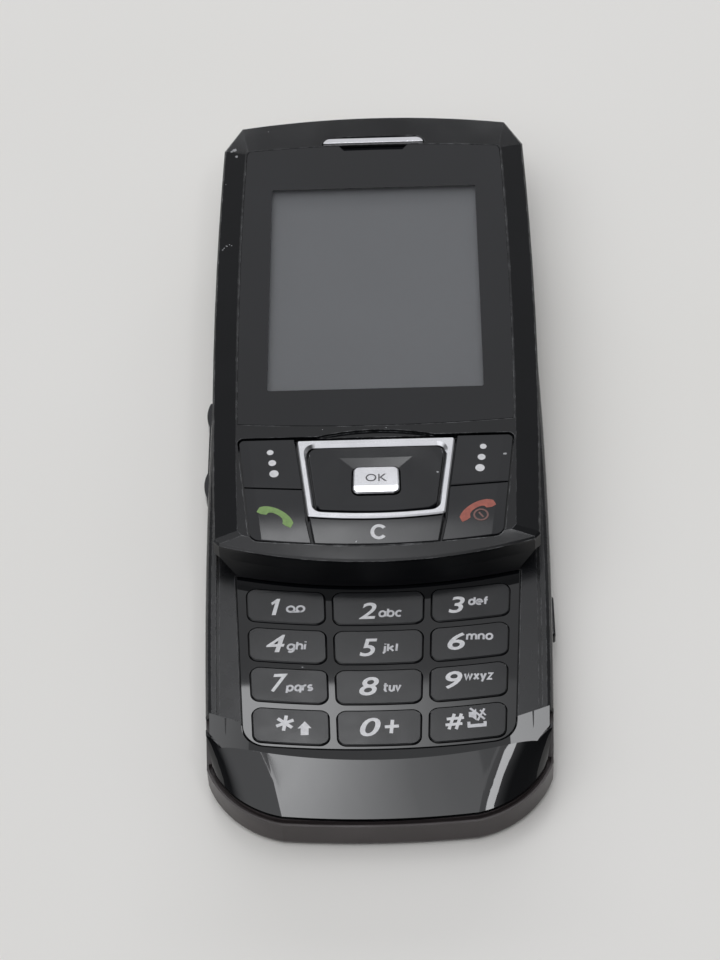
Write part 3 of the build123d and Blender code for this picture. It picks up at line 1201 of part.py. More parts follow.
export_step(nav_key.part, "parts/nav_key.step")

with BuildPart() as ok_key:
    with BuildSketch(Plane.XY.offset(CAP_Z)):
        add(ok_outline())
    extrude(amount=THICKNESS - CAP_Z)
    chamfer(ok_key.faces().sort_by(Axis.Z)[-1].edges(), length=0.2)
    with BuildSketch(Plane.XY.offset(CAP_Z)):
        with Locations((0, OK_Y)):
            Rectangle(2.2, 2.2)
    extrude(amount=STEM_Z - CAP_Z)
ok_key.part.label = "ok_key"
export_step(ok_key.part, "parts/ok_key.step")


def side_cap(side, upper):
    """Plan of a key beside the ring: soft key above the dividing line, call or end key below."""
    edge = SLIDE_END + DIVIDER_UP
    reach = SLIDE_HALF
    with BuildSketch() as plan:
        if upper:
            low, high = edge + NAV_GAP / 2, SLIDE_END + NAV_HIGH + 1.0
            Polygon((side * (ring_half(low) + NAV_GAP), low + DIVIDER_SLOPE * ring_half(low)),
                    (side * reach, low + DIVIDER_SLOPE * reach), (side * reach, high),
                    (side * (ring_half(high) + NAV_GAP), high), align=None)
        else:
            low, high = NAV_FOOT - 1.0, edge - NAV_GAP / 2
            Polygon((side * (clear_half(low) + CLEAR_GAP), low), (side * reach, low),
                    (side * reach, high + DIVIDER_SLOPE * reach),
                    (side * (ring_half(high) + NAV_GAP), high + DIVIDER_SLOPE * ring_half(high)),
                    (side * (ring_half(RING_FOOT) + NAV_GAP), RING_FOOT - NAV_GAP), align=None)
        add(nav_outline(NAV_GAP), mode=Mode.INTERSECT)
    return plan.sketch


CAPS = [("soft_key_left", -1, True, SOFT_STEM), ("soft_key_right", 1, True, SOFT_STEM),
        ("call_key", -1, False, CALL_STEM), ("end_key", 1, False, CALL_STEM)]
for name, side, upper, (stem_x, stem_y) in CAPS:
    with BuildPart() as cap:
        with BuildSketch(Plane.XY.offset(CAP_Z)):
            add(side_cap(side, upper))
        extrude(amount=CAP_THICK)
        chamfer(cap.faces().sort_by(Axis.Z)[-1].edges(), length=0.12)
        # its outer part falls away with the sloping border
        rise = NAV_HIGH - NAV_LOW
        lean = degrees(atan2(CAP_CREASE[1], rise))
        crease = Location((side * (CAP_CREASE[0] + CAP_CREASE[1] / 2), NAV_FOOT + rise / 2, CAP_TOP),
                          (0, 0, -side * lean)) * Location((0, 0, 0), (0, side * CAP_FALL, 0))
        with Locations(crease):
            Box(8.0, 2 * rise, 1.0, align=(Align.MIN if side > 0 else Align.MAX, Align.CENTER, Align.MIN),
                mode=Mode.SUBTRACT)
        with BuildSketch(Plane.XY.offset(CAP_Z)):
            with Locations((side * stem_x, stem_y)):
                Rectangle(STEM, STEM)
        extrude(amount=STEM_Z - CAP_Z)
    cap.part.label = name
    export_step(cap.part, f"parts/{name}.step")

with BuildPart() as clear_key:
    with BuildSketch(Plane.XY.offset(CAP_Z)):
        low, high = NAV_FOOT - 1.0, RING_FOOT + 1.0
        Polygon((clear_half(low), low), (clear_half(high), high), (-clear_half(high), high),
                (-clear_half(low), low), align=None)
        add(nav_outline(NAV_GAP), mode=Mode.INTERSECT)
        with Locations((0, RING_FOOT - NAV_GAP + RING_ARC)):
            Circle(RING_ARC, mode=Mode.SUBTRACT)
    extrude(amount=CAP_THICK)
    chamfer(clear_key.faces().sort_by(Axis.Z)[-1].edges(), length=0.12)
    with BuildSketch(Plane.XY.offset(CAP_Z)):
        with Locations(CLEAR_STEM):
            Rectangle(STEM, STEM)
    extrude(amount=STEM_Z - CAP_Z)
clear_key.part.label = "clear_key"
export_step(clear_key.part, "parts/clear_key.step")

# ---------------------------------------------------------------- screen half: inside
SLIDE_BOARD_Z = CAVITY_Z + 0.55
SLIDE_BOARD_TOP = SLIDE_BOARD_Z + BOARD_THICK
with BuildPart() as slide_board:
    with BuildSketch(Plane.XY.offset(SLIDE_BOARD_Z)):
        with Locations((0, SLIDE_END + 9.75)):
            Rectangle(37.6, SLIDE_TOP - SLIDE_END - 25.5, align=(Align.CENTER, Align.MIN))
        with Locations((0, SLIDE_END + 2.6)):
            Rectangle(31.0, 10.0, align=(Align.CENTER, Align.MIN))
    extrude(amount=BOARD_THICK)
slide_board.part.label = "slide_board"
export_step(slide_board.part, "parts/slide_board.step")

with BuildPart() as slide_domes:
    with BuildSketch(Plane.XY.offset(SLIDE_BOARD_TOP)):
        with Locations((0, SLIDE_END + 10.5)):
            Rectangle(35.0, 14.0, align=(Align.CENTER, Align.MIN))
        with Locations((0, SLIDE_END + 3.0)):
            Rectangle(30.0, 8.0, align=(Align.CENTER, Align.MIN))
    extrude(amount=DOME_FILM)
    with BuildSketch(Plane.XY.offset(SLIDE_BOARD_TOP + DOME_FILM)):
        with Locations(*(STEMS + NAV_NUBS + [(0, OK_Y)])):
            RegularPolygon(radius=1.4, side_count=8)
    extrude(amount=0.15)
slide_domes.part.label = "slide_domes"
export_step(slide_domes.part, "parts/slide_domes.step")

with BuildPart() as display_module:
    with Locations((0, SCREEN_Y, SLIDE_BOARD_TOP + 0.05)):
        Box(SCREEN_WIDTH + 3.4, SCREEN_HEIGHT + 6.0, ROOF_Z - 0.1 - SLIDE_BOARD_TOP - 0.05,
            align=(Align.CENTER, Align.CENTER, Align.MIN))
    with Locations((0, SCREEN_Y, ROOF_Z - 0.1)):
        Box(SCREEN_WIDTH + 1.0, SCREEN_HEIGHT + 1.0, THICKNESS - WINDOW_THICK - 0.05 - ROOF_Z + 0.1,
            align=(Align.CENTER, Align.CENTER, Align.MIN))
    # picture area, sunk a hair below its black edge
    with Locations((0, SCREEN_Y, THICKNESS - WINDOW_THICK - 0.05)):
        Box(SCREEN_WIDTH, SCREEN_HEIGHT, 0.1, mode=Mode.SUBTRACT)
display_module.part.label = "display_module"
export_step(display_module.part, "parts/display_module.step")

with BuildPart() as receiver:
    with Locations((0, EAR_Y, ROOF_Z - 0.1 - 0.6)):
        Box(13.0, 4.6, 1.2)
    fillet(receiver.edges().filter_by(Axis.Z), radius=1.2)
receiver.part.label = "receiver"
export_step(receiver.part, "parts/receiver.step")

with BuildPart() as camera_module:
    with BuildSketch(Plane((CAMERA[0], CAMERA[1], SLIDE_BACK + 0.55))):
        Circle(2.3)
        Circle(1.0, mode=Mode.SUBTRACT)
    extrude(amount=0.6)
    with Locations((CAMERA[0], CAMERA[1], CAVITY_Z + 0.05)):
        Box(7.0, 7.0, 1.4, align=(Align.CENTER, Align.CENTER, Align.MIN))
camera_module.part.label = "camera_module"
export_step(camera_module.part, "parts/camera_module.step")

with BuildPart() as camera_window:
    with BuildSketch(Plane((CAMERA[0], CAMERA[1], SLIDE_BACK + 0.05))):
        Circle(3.5)
    extrude(amount=0.4)
camera_window.part.label = "camera_window"
export_step(camera_window.part, "parts/camera_window.step")

with BuildPart() as flash_lens:
    with BuildSketch(Plane((FLASH[0], FLASH[1], SLIDE_BACK + 0.05))):
        Circle(1.5)
    extrude(amount=SLIDE_FLOOR)
flash_lens.part.label = "flash_lens"
export_step(flash_lens.part, "parts/flash_lens.step")

with BuildPart() as flex_cable:
    # ribbon on the rail plate, bending down through its slot to the board
    strip_z = SPRING_Z
    with Locations((0, FLEX_PLACE[1] - 0.1, strip_z)):
        Box(FLEX_WIDTH, 13.0, 0.15, align=(Align.CENTER, Align.MIN, Align.MIN))
    with Locations((0, FLEX_PLACE[1] - 0.1, BOARD_Z + BOARD_THICK)):
        Box(FLEX_WIDTH, 0.2, strip_z - BOARD_Z - BOARD_THICK, align=(Align.CENTER, Align.MIN, Align.MIN))
flex_cable.part.label = "flex_cable"
export_step(flex_cable.part, "parts/flex_cable.step")
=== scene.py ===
import math

import bmesh
import bpy
from mathutils import Matrix, Vector


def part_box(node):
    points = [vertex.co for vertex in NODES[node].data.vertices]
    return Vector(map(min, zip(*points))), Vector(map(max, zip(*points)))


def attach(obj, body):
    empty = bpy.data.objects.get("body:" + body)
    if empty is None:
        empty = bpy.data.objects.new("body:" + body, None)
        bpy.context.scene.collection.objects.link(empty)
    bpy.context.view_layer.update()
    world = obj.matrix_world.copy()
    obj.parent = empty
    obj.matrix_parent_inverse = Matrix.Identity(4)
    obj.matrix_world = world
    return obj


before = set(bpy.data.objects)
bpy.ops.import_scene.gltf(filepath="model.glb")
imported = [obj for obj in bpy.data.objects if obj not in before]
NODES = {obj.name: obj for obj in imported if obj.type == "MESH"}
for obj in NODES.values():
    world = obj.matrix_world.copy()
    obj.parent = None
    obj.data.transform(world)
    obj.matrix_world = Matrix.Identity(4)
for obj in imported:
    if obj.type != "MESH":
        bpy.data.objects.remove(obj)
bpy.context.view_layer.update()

MM = 0.001

# ------------------------------------------------------------------ camera
# A long lens above the keypad end, looking down and towards the earpiece. Angles are in radians.
CAMERA_PLACE = (0.007602, -0.270971, 0.318420)
CAMERA_AZIMUTH = 0.03851625
CAMERA_ELEVATION = 0.8678100
CAMERA_ROLL = -0.0543789
CAMERA_LENS = 101.737
CAMERA_SENSOR = 36.0
CAMERA_NEAREST = 10.0 * MM


def camera_axes(azimuth, elevation, roll):
    """Right, up and back of a camera, as rows, from its angles."""
    back = Vector((math.sin(azimuth) * math.cos(elevation),
                   -math.cos(azimuth) * math.cos(elevation), math.sin(elevation)))
    right = Vector((math.cos(azimuth), math.sin(azimuth), 0.0))
    up = back.cross(right)
    return (math.cos(roll) * right + math.sin(roll) * up,
            -math.sin(roll) * right + math.cos(roll) * up, back)


lens = bpy.data.cameras.new("long_lens")
lens.lens = CAMERA_LENS
lens.sensor_width = CAMERA_SENSOR
lens.clip_start = CAMERA_NEAREST
camera = bpy.data.objects.new("long_lens", lens)
axes = Matrix(camera_axes(CAMERA_AZIMUTH, CAMERA_ELEVATION, CAMERA_ROLL)).transposed()
camera.matrix_world = Matrix.Translation(CAMERA_PLACE) @ axes.to_4x4()
bpy.context.scene.collection.objects.link(camera)
bpy.context.scene.camera = camera


# ------------------------------------------------------------------ materials
def linear(shade):
    """An sRGB hex colour as the linear RGBA that shaders take."""
    values = [int(shade[i:i + 2], 16) / 255 for i in (1, 3, 5)]
    return tuple(v / 12.92 if v <= 0.04045 else ((v + 0.055) / 1.055) ** 2.4
                 for v in values) + (1.0,)


def add_node(tree, kind, inputs=None, **settings):
    """Adds one shader node, sets its properties, and sets or links its inputs."""
    made = tree.nodes.new(kind)
    for name, value in settings.items():
        setattr(made, name, value)
    for name, value in (inputs or {}).items():
        if isinstance(value, bpy.types.NodeSocket):
            tree.links.new(value, made.inputs[name])
        else:
            made.inputs[name].default_value = value
    return made


def blank_material(name):
    """An empty node material, its tree, and the place of a point on the object, in metres."""
    material = bpy.data.materials.new(name)
    material.use_nodes = True
    tree = material.node_tree
    tree.nodes.clear()
    return material, tree, add_node(tree, "ShaderNodeTexCoord").outputs["Object"]


def give_surface(tree, inputs):
    """Ends a material with a principled surface that has the inputs given."""
    surface = add_node(tree, "ShaderNodeBsdfPrincipled", inputs)
    add_node(tree, "ShaderNodeOutputMaterial", {"Surface": surface.outputs[0]})


def wandering(tree, place, patch_mm, low, high, detail=3.0, roughness=0.5, cut=(0.3, 0.7)):
    """A value that wanders from low to high, in patches about as wide as the size given. Noise
    keeps near its middle, so the part of it inside the cut is stretched over the whole range."""
    noise = add_node(tree, "ShaderNodeTexNoise", {
        "Vector": place, "Scale": 1.0 / (2.0 * patch_mm * MM), "Detail": detail,
        "Roughness": roughness}).outputs["Fac"]
    return add_node(tree, "ShaderNodeMapRange", {
        "Value": noise, "From Min": cut[0], "From Max": cut[1], "To Min": low,
        "To Max": high}).outputs["Result"]


def mottled(tree, place, patch_mm, dark, light, detail=4.0):
    """A colour that wanders between two shades, in patches about as wide as the size given."""
    share = wandering(tree, place, patch_mm, 0.0, 1.0, detail)
    return add_node(tree, "ShaderNodeMix", {
        "Factor": share, "A": linear(dark), "B": linear(light)}, data_type="RGBA").outputs[2]


def toothed(tree, place, grain_mm, height_mm):
    """The normal of a surface with a fine tooth, as a tool's etching or a spray leaves it. A real
    tooth can be finer: none is drawn much under a tenth of a millimetre, which would not show."""
    grain = add_node(tree, "ShaderNodeTexNoise", {
        "Vector": place, "Scale": 1.0 / (2.0 * grain_mm * MM), "Detail": 1.0}).outputs["Fac"]
    return add_node(tree, "ShaderNodeBump", {
        "Height": grain, "Distance": height_mm * MM, "Strength": 1.0}).outputs["Normal"]


CHIP_WAVES = 1.4        # to a millimetre, in the outline of a chip
CHIP_STRAY = 0.6        # how far that outline strays, in millimetres
CHIP_CORE = 0.6         # the share of a chip's radius that is bare all over


def chipped(tree, place, marks):
    """1 where a finish is chipped through, near the points given as (x, y, radius) in
    millimetres."""
    ragged = add_node(tree, "ShaderNodeTexNoise", {
        "Vector": place, "Scale": CHIP_WAVES / MM, "Detail": 2.0}).outputs["Color"]
    spot = add_node(tree, "ShaderNodeVectorMath", {
        0: ragged, 1: (CHIP_STRAY * MM, CHIP_STRAY * MM, 0.0), 2: place},
        operation="MULTIPLY_ADD").outputs[0]
    spot = add_node(tree, "ShaderNodeVectorMath", {0: spot, 1: (1.0, 1.0, 0.0)},
                    operation="MULTIPLY").outputs[0]
    bare = 0.0
    for x, y, radius in marks:
        middle = ((x + CHIP_STRAY / 2) * MM, (y + CHIP_STRAY / 2) * MM, 0.0)
        away = add_node(tree, "ShaderNodeVectorMath", {0: spot, 1: middle},
                        operation="DISTANCE").outputs["Value"]
        here = add_node(tree, "ShaderNodeMapRange", {
            "Value": away, "From Min": radius * MM, "From Max": radius * CHIP_CORE * MM,
            "To Min": 0.0, "To Max": 1.0}).outputs["Result"]
        bare = add_node(tree, "ShaderNodeMath", {0: bare, 1: here},
                        operation="MAXIMUM").outputs[0]
    return bare


EDGE_RADIUS = 0.18                  # millimetres of an edge that hands and pockets rub, and that is lightened as a painted highlight
EDGE_TURN = (0.998, 0.985)          # cosine of the normal's turn there, from a plain face to a fully lightened edge


def worn_and_highlit_edges(tree, place, amount, above_mm):
    """Above 0 along edges higher than a height, in broken stretches a millimetre or two long:
    partly wear from rubbing, partly a painted highlight where the edges catch the light."""
    eased = add_node(tree, "ShaderNodeBevel", {"Radius": EDGE_RADIUS * MM},
                     samples=6).outputs["Normal"]
    flat = add_node(tree, "ShaderNodeNewGeometry").outputs["Normal"]
    turn = add_node(tree, "ShaderNodeVectorMath", {0: eased, 1: flat},
                    operation="DOT_PRODUCT").outputs["Value"]
    edge = add_node(tree, "ShaderNodeMapRange", {
        "Value": turn, "From Min": EDGE_TURN[0], "From Max": EDGE_TURN[1], "To Min": 0.0,
        "To Max": 1.0}).outputs["Result"]
    broken = wandering(tree, place, 1.2, 0.0, amount, detail=5.0, roughness=0.7, cut=(0.44, 0.62))
    height = add_node(tree, "ShaderNodeSeparateXYZ", {0: place}).outputs["Z"]
    high = add_node(tree, "ShaderNodeMath", {0: height, 1: above_mm * MM},
                    operation="GREATER_THAN").outputs[0]
    edge = add_node(tree, "ShaderNodeMath", {0: edge, 1: high}, operation="MULTIPLY").outputs[0]
    return add_node(tree, "ShaderNodeMath", {0: edge, 1: broken}, operation="MULTIPLY").outputs[0]


BARE_RESIN_AND_EDGE_HIGHLIGHT = "#8d8e90"      # under the black of a moulding, and the grey of the painted edge highlight
BARE_ROUGHNESS = 0.5


def finish(name, dark, light, mottle_mm, gloss, gloss_mm, tooth=None, chips=(), edge_wear_and_highlight=None,
           dull_below=None, **shader):
    """A moulded or worked surface. Its colour wanders between two shades in patches of mottle_mm,
    and its roughness between the two values of gloss in patches of gloss_mm. A tooth is given as
    (grain, height) in millimetres. Chips show what is under the surface, and edges are lightened
    to the same grey by (amount, above this height), partly as wear and partly as a painted
    highlight. Below a height it can be duller, as (low, high, roughness)."""
    material, tree, place = blank_material(name)
    colour = mottled(tree, place, mottle_mm, dark, light)
    roughness = wandering(tree, place, gloss_mm, gloss[0], gloss[1])
    if dull_below:
        low, high, dullest = dull_below
        height = add_node(tree, "ShaderNodeSeparateXYZ", {0: place}).outputs["Z"]
        dull = add_node(tree, "ShaderNodeMapRange", {
            "Value": height, "From Min": low * MM, "From Max": high * MM, "To Min": dullest,
            "To Max": 0.0}).outputs["Result"]
        roughness = add_node(tree, "ShaderNodeMath", {0: roughness, 1: dull},
                             operation="MAXIMUM").outputs[0]
    # Chips bare the resin under the black; edges are lightened to the same grey, partly wear and
    # partly a painted highlight.
    if chips or edge_wear_and_highlight:
        chipped_and_highlit = chipped(tree, place, chips) if chips else 0.0
        if edge_wear_and_highlight:
            chipped_and_highlit = add_node(tree, "ShaderNodeMath", {
                0: chipped_and_highlit, 1: worn_and_highlit_edges(tree, place, *edge_wear_and_highlight)}, operation="MAXIMUM").outputs[0]
        colour = add_node(tree, "ShaderNodeMix", {
            "Factor": chipped_and_highlit, "A": colour, "B": linear(BARE_RESIN_AND_EDGE_HIGHLIGHT)}, data_type="RGBA").outputs[2]
        roughness = add_node(tree, "ShaderNodeMix", {
            "Factor": chipped_and_highlit, "A": roughness, "B": BARE_ROUGHNESS}, data_type="FLOAT").outputs[0]
    inputs = {"Base Color": colour, "Roughness": roughness}
    if tooth:
        inputs["Normal"] = toothed(tree, place, *tooth)
    give_surface(tree, inputs | shader)
    return material


# Acrylonitrile butadiene styrene (ABS), sprayed black and clear-coated: deep black, with a soft
# reflection on the face and a duller one on the sides. Chips are where it was dropped or knocked.
# Its top edges are lightened in broken stretches, partly wear and partly a painted highlight.
DROPPED_CORNER = ((-22.9, 60.3, 0.42), (-23.4, 60.1, 0.2), (-22.5, 58.5, 0.28), (-17.3, 64.6, 0.12))
KNOCKED_SIDE = ((-24.2, 37.3, 0.17), (-23.95, 37.6, 0.13), (-23.6, 37.9, 0.13), (-23.1, 38.1, 0.14),
                (-22.8, 37.8, 0.12), (-24.1, 52.3, 0.1))
PITTED_FACE = ((-8.0, -2.2, 0.12), (1.6, -2.1, 0.11))
lacquered_abs = finish("lacquered_abs_black", "#08090b", "#0b0c0f", mottle_mm=6.0,
                       gloss=(0.09, 0.13), gloss_mm=4.0,
                       chips=DROPPED_CORNER + KNOCKED_SIDE + PITTED_FACE, edge_wear_and_highlight=(0.5, 11.4),
                       dull_below=(11.2, 12.2, 0.42), IOR=1.48)
# The same on the keypad half, dulled by the screen half that slides over it; its edges are
# lightened the same way.
rubbed_abs = finish("rubbed_abs_black", "#0a0b0d", "#101114", mottle_mm=5.0, gloss=(0.2, 0.32),
                    gloss_mm=3.0, edge_wear_and_highlight=(0.3, 0.0), IOR=1.5)
# Side keys, ABS from a polished tool: a sharper reflection than the shell round them, and edges
# lightened the same way.
side_key_abs = finish("polished_abs_side_keys", "#101114", "#15161a", mottle_mm=3.0,
                      gloss=(0.08, 0.14), gloss_mm=2.0, edge_wear_and_highlight=(0.3, 0.0), IOR=1.52)
# ABS in the lower shell, moulded: a warmer, greyer black with a fine tooth.
shell_abs = finish("moulded_abs_shell", "#332d2d", "#3d3737", mottle_mm=5.0, gloss=(0.3, 0.42),
                   gloss_mm=3.0, tooth=(0.14, 0.004), IOR=1.5)
# Polycarbonate from a polished tool: mirror-like, with the haze of fingers.
PANEL_CHIPS = ((-10.9, -35.3, 0.13), (-10.8, -41.8, 0.14), (-19.9, -46.6, 0.1))
gloss_polycarbonate = finish("polished_polycarbonate", "#060709", "#0a0b0d", mottle_mm=8.0,
                             gloss=(0.015, 0.04), gloss_mm=7.0, chips=PANEL_CHIPS, IOR=1.56)
# Number keys, polycarbonate painted and clear-coated: a soft sheen on top and dull sides.
key_paint = finish("painted_polycarbonate_keys", "#0c0d0f", "#121316", mottle_mm=3.0,
                   gloss=(0.14, 0.2), gloss_mm=2.0, tooth=(0.1, 0.001),
                   dull_below=(6.9, 7.15, 0.6), IOR=1.47)

CAP_CHIPS = ((19.15, -7.7, 0.3), (9.1, -10.9, 0.17), (-2.9, -23.75, 0.13))
BARE_CAP = "#a3a4a6"


def sloping_paint(name, shape):
    """Paint of the screen half's keys, smoother than the number keys'. The keys are so slightly
    crowned or dished that only their reflections show it, so the shape comes from a height in
    metres, worked out by shape(tree, x, y)."""
    material, tree, place = blank_material(name)
    along = add_node(tree, "ShaderNodeSeparateXYZ", {0: place})
    height = shape(tree, along.outputs["X"], along.outputs["Y"])
    colour = add_node(tree, "ShaderNodeMix", {
        "Factor": chipped(tree, place, CAP_CHIPS),
        "A": mottled(tree, place, 4.0, "#101114", "#17181b"), "B": linear(BARE_CAP)},
        data_type="RGBA").outputs[2]
    give_surface(tree, {
        "Base Color": colour, "Roughness": wandering(tree, place, 3.0, 0.1, 0.15), "IOR": 1.5,
        "Normal": add_node(tree, "ShaderNodeBump", {
            "Height": height, "Distance": 1.0, "Strength": 1.0}).outputs["Normal"]})
    return material


CROWN_START = -16.5         # along the length, in millimetres
CROWN_BEND = 4.6            # times the square of the way past that, in metres, is the fall


def crowned(tree, x, y):
    """Falls away towards the lower end, faster and faster."""
    past = add_node(tree, "ShaderNodeMath", {0: CROWN_START * MM, 1: y},
                    operation="SUBTRACT").outputs[0]
    past = add_node(tree, "ShaderNodeMath", {0: past, 1: 0.0}, operation="MAXIMUM").outputs[0]
    square = add_node(tree, "ShaderNodeMath", {0: past, 1: past}, operation="MULTIPLY").outputs[0]
    return add_node(tree, "ShaderNodeMath", {0: square, 1: -CROWN_BEND},
                    operation="MULTIPLY").outputs[0]


OK_MIDDLE = (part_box("ok_key")[0].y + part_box("ok_key")[1].y) / 2 / MM
OK_HALF_WIDTH, OK_HALF_LENGTH = 3.43, 2.55
DISH_WIDTH = 2.0            # of the sloped band round the middle key, in millimetres
DISH_SLOPE = 0.034


def dished(tree, x, y):
    """Four flat slopes down to the key in the middle."""
    past = []
    for along, middle, half in ((x, 0.0, OK_HALF_WIDTH), (y, OK_MIDDLE, OK_HALF_LENGTH)):
        off = add_node(tree, "ShaderNodeMath", {0: along, 1: middle * MM},
                       operation="SUBTRACT").outputs[0]
        off = add_node(tree, "ShaderNodeMath", {0: off}, operation="ABSOLUTE").outputs[0]
        past.append(add_node(tree, "ShaderNodeMath", {0: off, 1: half * MM},
                             operation="SUBTRACT").outputs[0])
    rim = add_node(tree, "ShaderNodeMath", {0: past[0], 1: past[1]},
                   operation="MAXIMUM").outputs[0]
    rim = add_node(tree, "ShaderNodeMath", {0: rim, 1: DISH_WIDTH * MM},
                   operation="MINIMUM").outputs[0]
    return add_node(tree, "ShaderNodeMath", {0: rim, 1: DISH_SLOPE},
                    operation="MULTIPLY").outputs[0]


cap_paint = sloping_paint("painted_polycarbonate_caps", crowned)
dished_paint = sloping_paint("painted_polycarbonate_dish", dished)

# Zinc casting, satin chrome plated: bright, with soft edges to what it reflects.
CHROME_DARK, CHROME_LIGHT = "#dcdcdf", "#e6e6e9"
CHROME_GLOSS = (0.16, 0.2)
satin_chrome = finish("satin_chrome_plate", CHROME_DARK, CHROME_LIGHT, mottle_mm=2.0,
                      gloss=CHROME_GLOSS, gloss_mm=1.5, tooth=(0.08, 0.0004), Metallic=1.0)


def bevelled_chrome(name, bevel_from_mm, slope):
    """The same plate with its lower edge sloped: too narrow a slope for its shape to show, so the
    light does it."""
    material, tree, place = blank_material(name)
    along = add_node(tree, "ShaderNodeSeparateXYZ", {0: place}).outputs["Y"]
    past = add_node(tree, "ShaderNodeMath", {0: bevel_from_mm * MM, 1: along},
                    operation="SUBTRACT").outputs[0]
    past = add_node(tree, "ShaderNodeMath", {0: past, 1: 0.0}, operation="MAXIMUM").outputs[0]
    height = add_node(tree, "ShaderNodeMath", {0: past, 1: -slope},
                      operation="MULTIPLY").outputs[0]
    give_surface(tree, {
        "Base Color": mottled(tree, place, 2.0, CHROME_DARK, CHROME_LIGHT),
        "Roughness": wandering(tree, place, 1.5, *CHROME_GLOSS), "Metallic": 1.0,
        "Normal": add_node(tree, "ShaderNodeBump", {
            "Height": height, "Distance": 1.0, "Strength": 1.0}).outputs["Normal"]})
    return material


# Width in millimetres and slope of the two bevels.
GRILLE_BEVEL, GRILLE_SLOPE = 0.5, 0.33
KEY_BEVEL, KEY_SLOPE = 1.35, 0.13
grille_chrome = bevelled_chrome(
    "satin_chrome_grille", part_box("earpiece_grille")[0].y / MM + GRILLE_BEVEL, GRILLE_SLOPE)
key_chrome = bevelled_chrome(
    "satin_chrome_key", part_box("ok_key")[0].y / MM + KEY_BEVEL, KEY_SLOPE)
# Thermoplastic elastomer, moulded: dull, with a leathery tooth.
flap_rubber = finish("moulded_elastomer", "#19191a", "#212122", mottle_mm=3.0, gloss=(0.55, 0.7),
                     gloss_mm=2.0, tooth=(0.1, 0.006), IOR=1.5)
# Sheet steel, stamped and tumbled: grey, with a faint satin.
stamped_steel = finish("stamped_stainless_steel", "#8d8e90", "#a9aaac", mottle_mm=2.0,
                       gloss=(0.25, 0.4), gloss_mm=1.5, tooth=(0.1, 0.003), Metallic=1.0)
# Polyester film over the snap domes, dull and black: the black paints the shade in the gaps round
# the keys.
dome_film_painted_shade = finish("polyester_film_painted_shade", "#121213", "#171718", mottle_mm=3.0, gloss=(0.5, 0.6),
                   gloss_mm=2.0, IOR=1.55)
# Beryllium copper, gold plated: warm yellow and half bright.
gold_plate = finish("gold_plated_spring", "#b8913c", "#cda74f", mottle_mm=1.0, gloss=(0.2, 0.3),
                    gloss_mm=1.0, Metallic=1.0)
# Glass-reinforced nylon, moulded, inside the case: charcoal, with a coarse tooth.
inner_nylon = finish("moulded_nylon_black", "#262628", "#2e2e30", mottle_mm=3.0,
                     gloss=(0.45, 0.6), gloss_mm=2.0, tooth=(0.15, 0.008), IOR=1.5)
# Fibreglass board under solder resist: green, with a wet look.
board_resist = finish("fibreglass_solder_resist", "#12391f", "#184a29", mottle_mm=2.0,
                      gloss=(0.25, 0.4), gloss_mm=1.5, IOR=1.55)
# Battery in its plastic case, moulded: mid grey and dull.
battery_case = finish("moulded_battery_case", "#77797d", "#85878b", mottle_mm=4.0,
                      gloss=(0.4, 0.55), gloss_mm=2.0, tooth=(0.15, 0.006), IOR=1.5)
# Polyimide ribbon: amber over copper.
polyimide = finish("polyimide_ribbon", "#8a4f16", "#9d5d1d", mottle_mm=2.0, gloss=(0.25, 0.35),
                   gloss_mm=1.0, IOR=1.6)
# Optical glass, polished: near black over the dark inside, with a sharp reflection.
clear_lens = finish("polished_optical_glass", "#050608", "#08090c", mottle_mm=4.0,
                    gloss=(0.02, 0.04), gloss_mm=3.0, IOR=1.52)

PRINT_CORNER = 0.35 * MM


def inside_print(tree, place, centre_y, width, height):
    """1 over the opening of a printed frame, which has rounded corners, and 0 round it."""
    along = add_node(tree, "ShaderNodeSeparateXYZ", {0: place})
    squares = []
    for socket, centre, half in ((along.outputs["X"], 0.0, width / 2),
                                 (along.outputs["Y"], centre_y, height / 2)):
        off = add_node(tree, "ShaderNodeMath", {0: socket, 1: centre},
                       operation="SUBTRACT").outputs[0]
        off = add_node(tree, "ShaderNodeMath", {0: off}, operation="ABSOLUTE").outputs[0]
        off = add_node(tree, "ShaderNodeMath", {0: off, 1: half - PRINT_CORNER},
                       operation="SUBTRACT").outputs[0]
        off = add_node(tree, "ShaderNodeMath", {0: off, 1: 0.0}, operation="MAXIMUM").outputs[0]
        squares.append(add_node(tree, "ShaderNodeMath", {0: off, 1: off},
                                operation="MULTIPLY").outputs[0])
    total = add_node(tree, "ShaderNodeMath", {0: squares[0], 1: squares[1]},
                     operation="ADD").outputs[0]
    return add_node(tree, "ShaderNodeMath", {0: total, 1: PRINT_CORNER ** 2},
                    operation="LESS_THAN").outputs[0]


SCREEN_LOW, SCREEN_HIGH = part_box("display_module")
DISPLAY_Y = (SCREEN_LOW.y + SCREEN_HIGH.y) / 2
# The opening in the window's print sits low, so that the cell under it fills it when seen from the
# keypad end. LOOK_SLANT is how far that shifts it for each unit of depth.
LOOK_SLANT = 0.85
OPENING_Y = DISPLAY_Y - LOOK_SLANT * (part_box("display_window")[1].z - SCREEN_HIGH.z)
OPENING_WIDTH, OPENING_HEIGHT = 32.97 * MM, 43.95 * MM
BACK_PRINT_MARGIN = 3.0 * MM            # how much wider the opening at the window's back is
CELL_MARGINS = (2.0 * MM, 4.0 * MM)     # how much wider and longer the grey cell is than it
WINDOW_INSIDE = 12.5 * MM               # a height between the window's back and front
SMOKE = 0.35                            # how much the smoked window hides of the display


